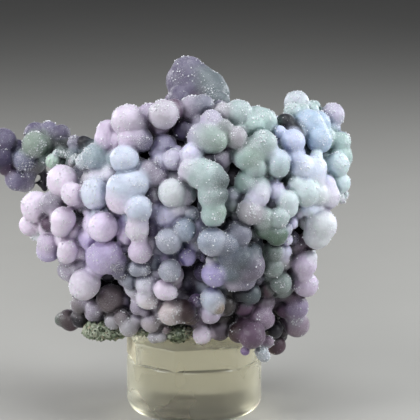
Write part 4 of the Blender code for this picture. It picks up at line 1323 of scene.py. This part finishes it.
# The plate's left end is sawn and not polished, so it scatters the light. Its pale cream tint is partly
# painted light, for the lamp on the left that lights that end.
def sawnLitMaterial():
    material, tree, shader = newMaterial("sawnLitAcrylic", {
        "Roughness": 0.5, "Transmission Weight": 0.2, "IOR": stand["ior"],
    })
    marks = noiseNode(tree, stand["sawScale"], detail=3.0)
    cream = rampNode(tree, marks, (0.35, 0.65), stand["sawnLitTints"])
    link(tree, cream, "Color", shader, "Base Color")
    addBump(tree, shader, marks, *stand["sawBump"])
    return material


# A quarter turn of an ellipse around (x, z), from one angle to another in degrees
def quarter(x, z, wide, tall, first, last, steps):
    turns = [math.radians(first + (last - first) * i / steps) for i in range(steps + 1)]
    return [(x + wide * math.cos(turn), z + tall * math.sin(turn)) for turn in turns]


def baseMesh():
    low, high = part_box("stand_base")
    radius = (high.x - low.x) / 2
    foot = stand["footRound"] * mm
    across, down = [size * mm for size in stand["rimSlope"]]
    rim = quarter(radius - across, high.z - down, across, down, 90, 0, 4)
    outline = [(0.0, high.z)] + rim + quarter(radius - foot, foot, foot, foot, 0, -90, 12) + [(0.0, 0.0)]
    bm = bmesh.new()
    verts = [bm.verts.new((x, 0.0, z)) for x, z in outline]
    edges = [bm.edges.new(pair) for pair in zip(verts, verts[1:])]
    bmesh.ops.spin(
        bm, geom=verts + edges, cent=(0, 0, 0), axis=(0, 0, 1),
        angle=math.tau, steps=stand["sides"], use_merge=True,
    )
    bmesh.ops.remove_doubles(bm, verts=bm.verts, dist=1e-6)
    bmesh.ops.recalc_face_normals(bm, faces=bm.faces)
    return meshFromBmesh("base", bm)


# The plate reaches a little into the base, so that the two join with no air between them. The far
# four corners mirror the near four.
def plateMesh():
    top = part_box("stand_plate")[1].z
    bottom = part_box("stand_base")[1].z - stand["plateSunk"] * mm
    bm = bmesh.new()
    ring = [
        bm.verts.new((side * x * mm, side * y * mm, bottom))
        for side in (1.0, -1.0) for x, y in stand["plateCorners"]
    ]
    made = bmesh.ops.extrude_face_region(bm, geom=[bm.faces.new(ring)])
    upper = [v for v in made["geom"] if isinstance(v, bmesh.types.BMVert)]
    bmesh.ops.translate(bm, verts=upper, vec=(0, 0, top - bottom))
    bmesh.ops.recalc_face_normals(bm, faces=bm.faces)
    bmesh.ops.bevel(
        bm, geom=list(bm.edges), offset=stand["plateEdge"] * mm,
        segments=3, profile=0.5, affect="EDGES",
    )
    return meshFromBmesh("plate", bm)


def makeStand(clear, sawn):
    base = addObject("base", baseMesh())
    plate = addObject("plate", plateMesh())
    join = base.modifiers.new("Plate glued on", "BOOLEAN")
    join.operation = "UNION"
    join.solver = "EXACT"
    join.object = plate
    mesh = appliedMesh(base, "clearStand")
    bpy.data.objects.remove(plate)
    mesh.shade_smooth()
    mesh.set_sharp_from_angle(angle=math.radians(30.0))
    mesh.materials.clear()
    mesh.materials.append(clear)
    mesh.materials.append(sawn)
    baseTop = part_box("stand_base")[1].z
    # Faces turned to the left get the sawn finish, whose pale tint is partly painted light
    for polygon in mesh.polygons:
        if polygon.normal.x < -0.9 and polygon.center.z > baseTop:
            polygon.material_index = 1
    piece = addObject("clearStand", mesh)
    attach(piece, "root")
    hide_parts("stand_base", "stand_plate")
    stage("clear stand")


makeCamera()
makeStudio()
makeFloor()
stage("camera, lights and floor")
points, way, tint, sugared = makeAgateSkin()
quartz = sugarMaterial()
for name in ("fineSugar", "sugarPoints", "whiteCrumbs"):
    makeSugar(name, quartz, points, way, tint, sugared)
makeCrust()
makeStand(acrylicMaterial(), sawnLitMaterial())
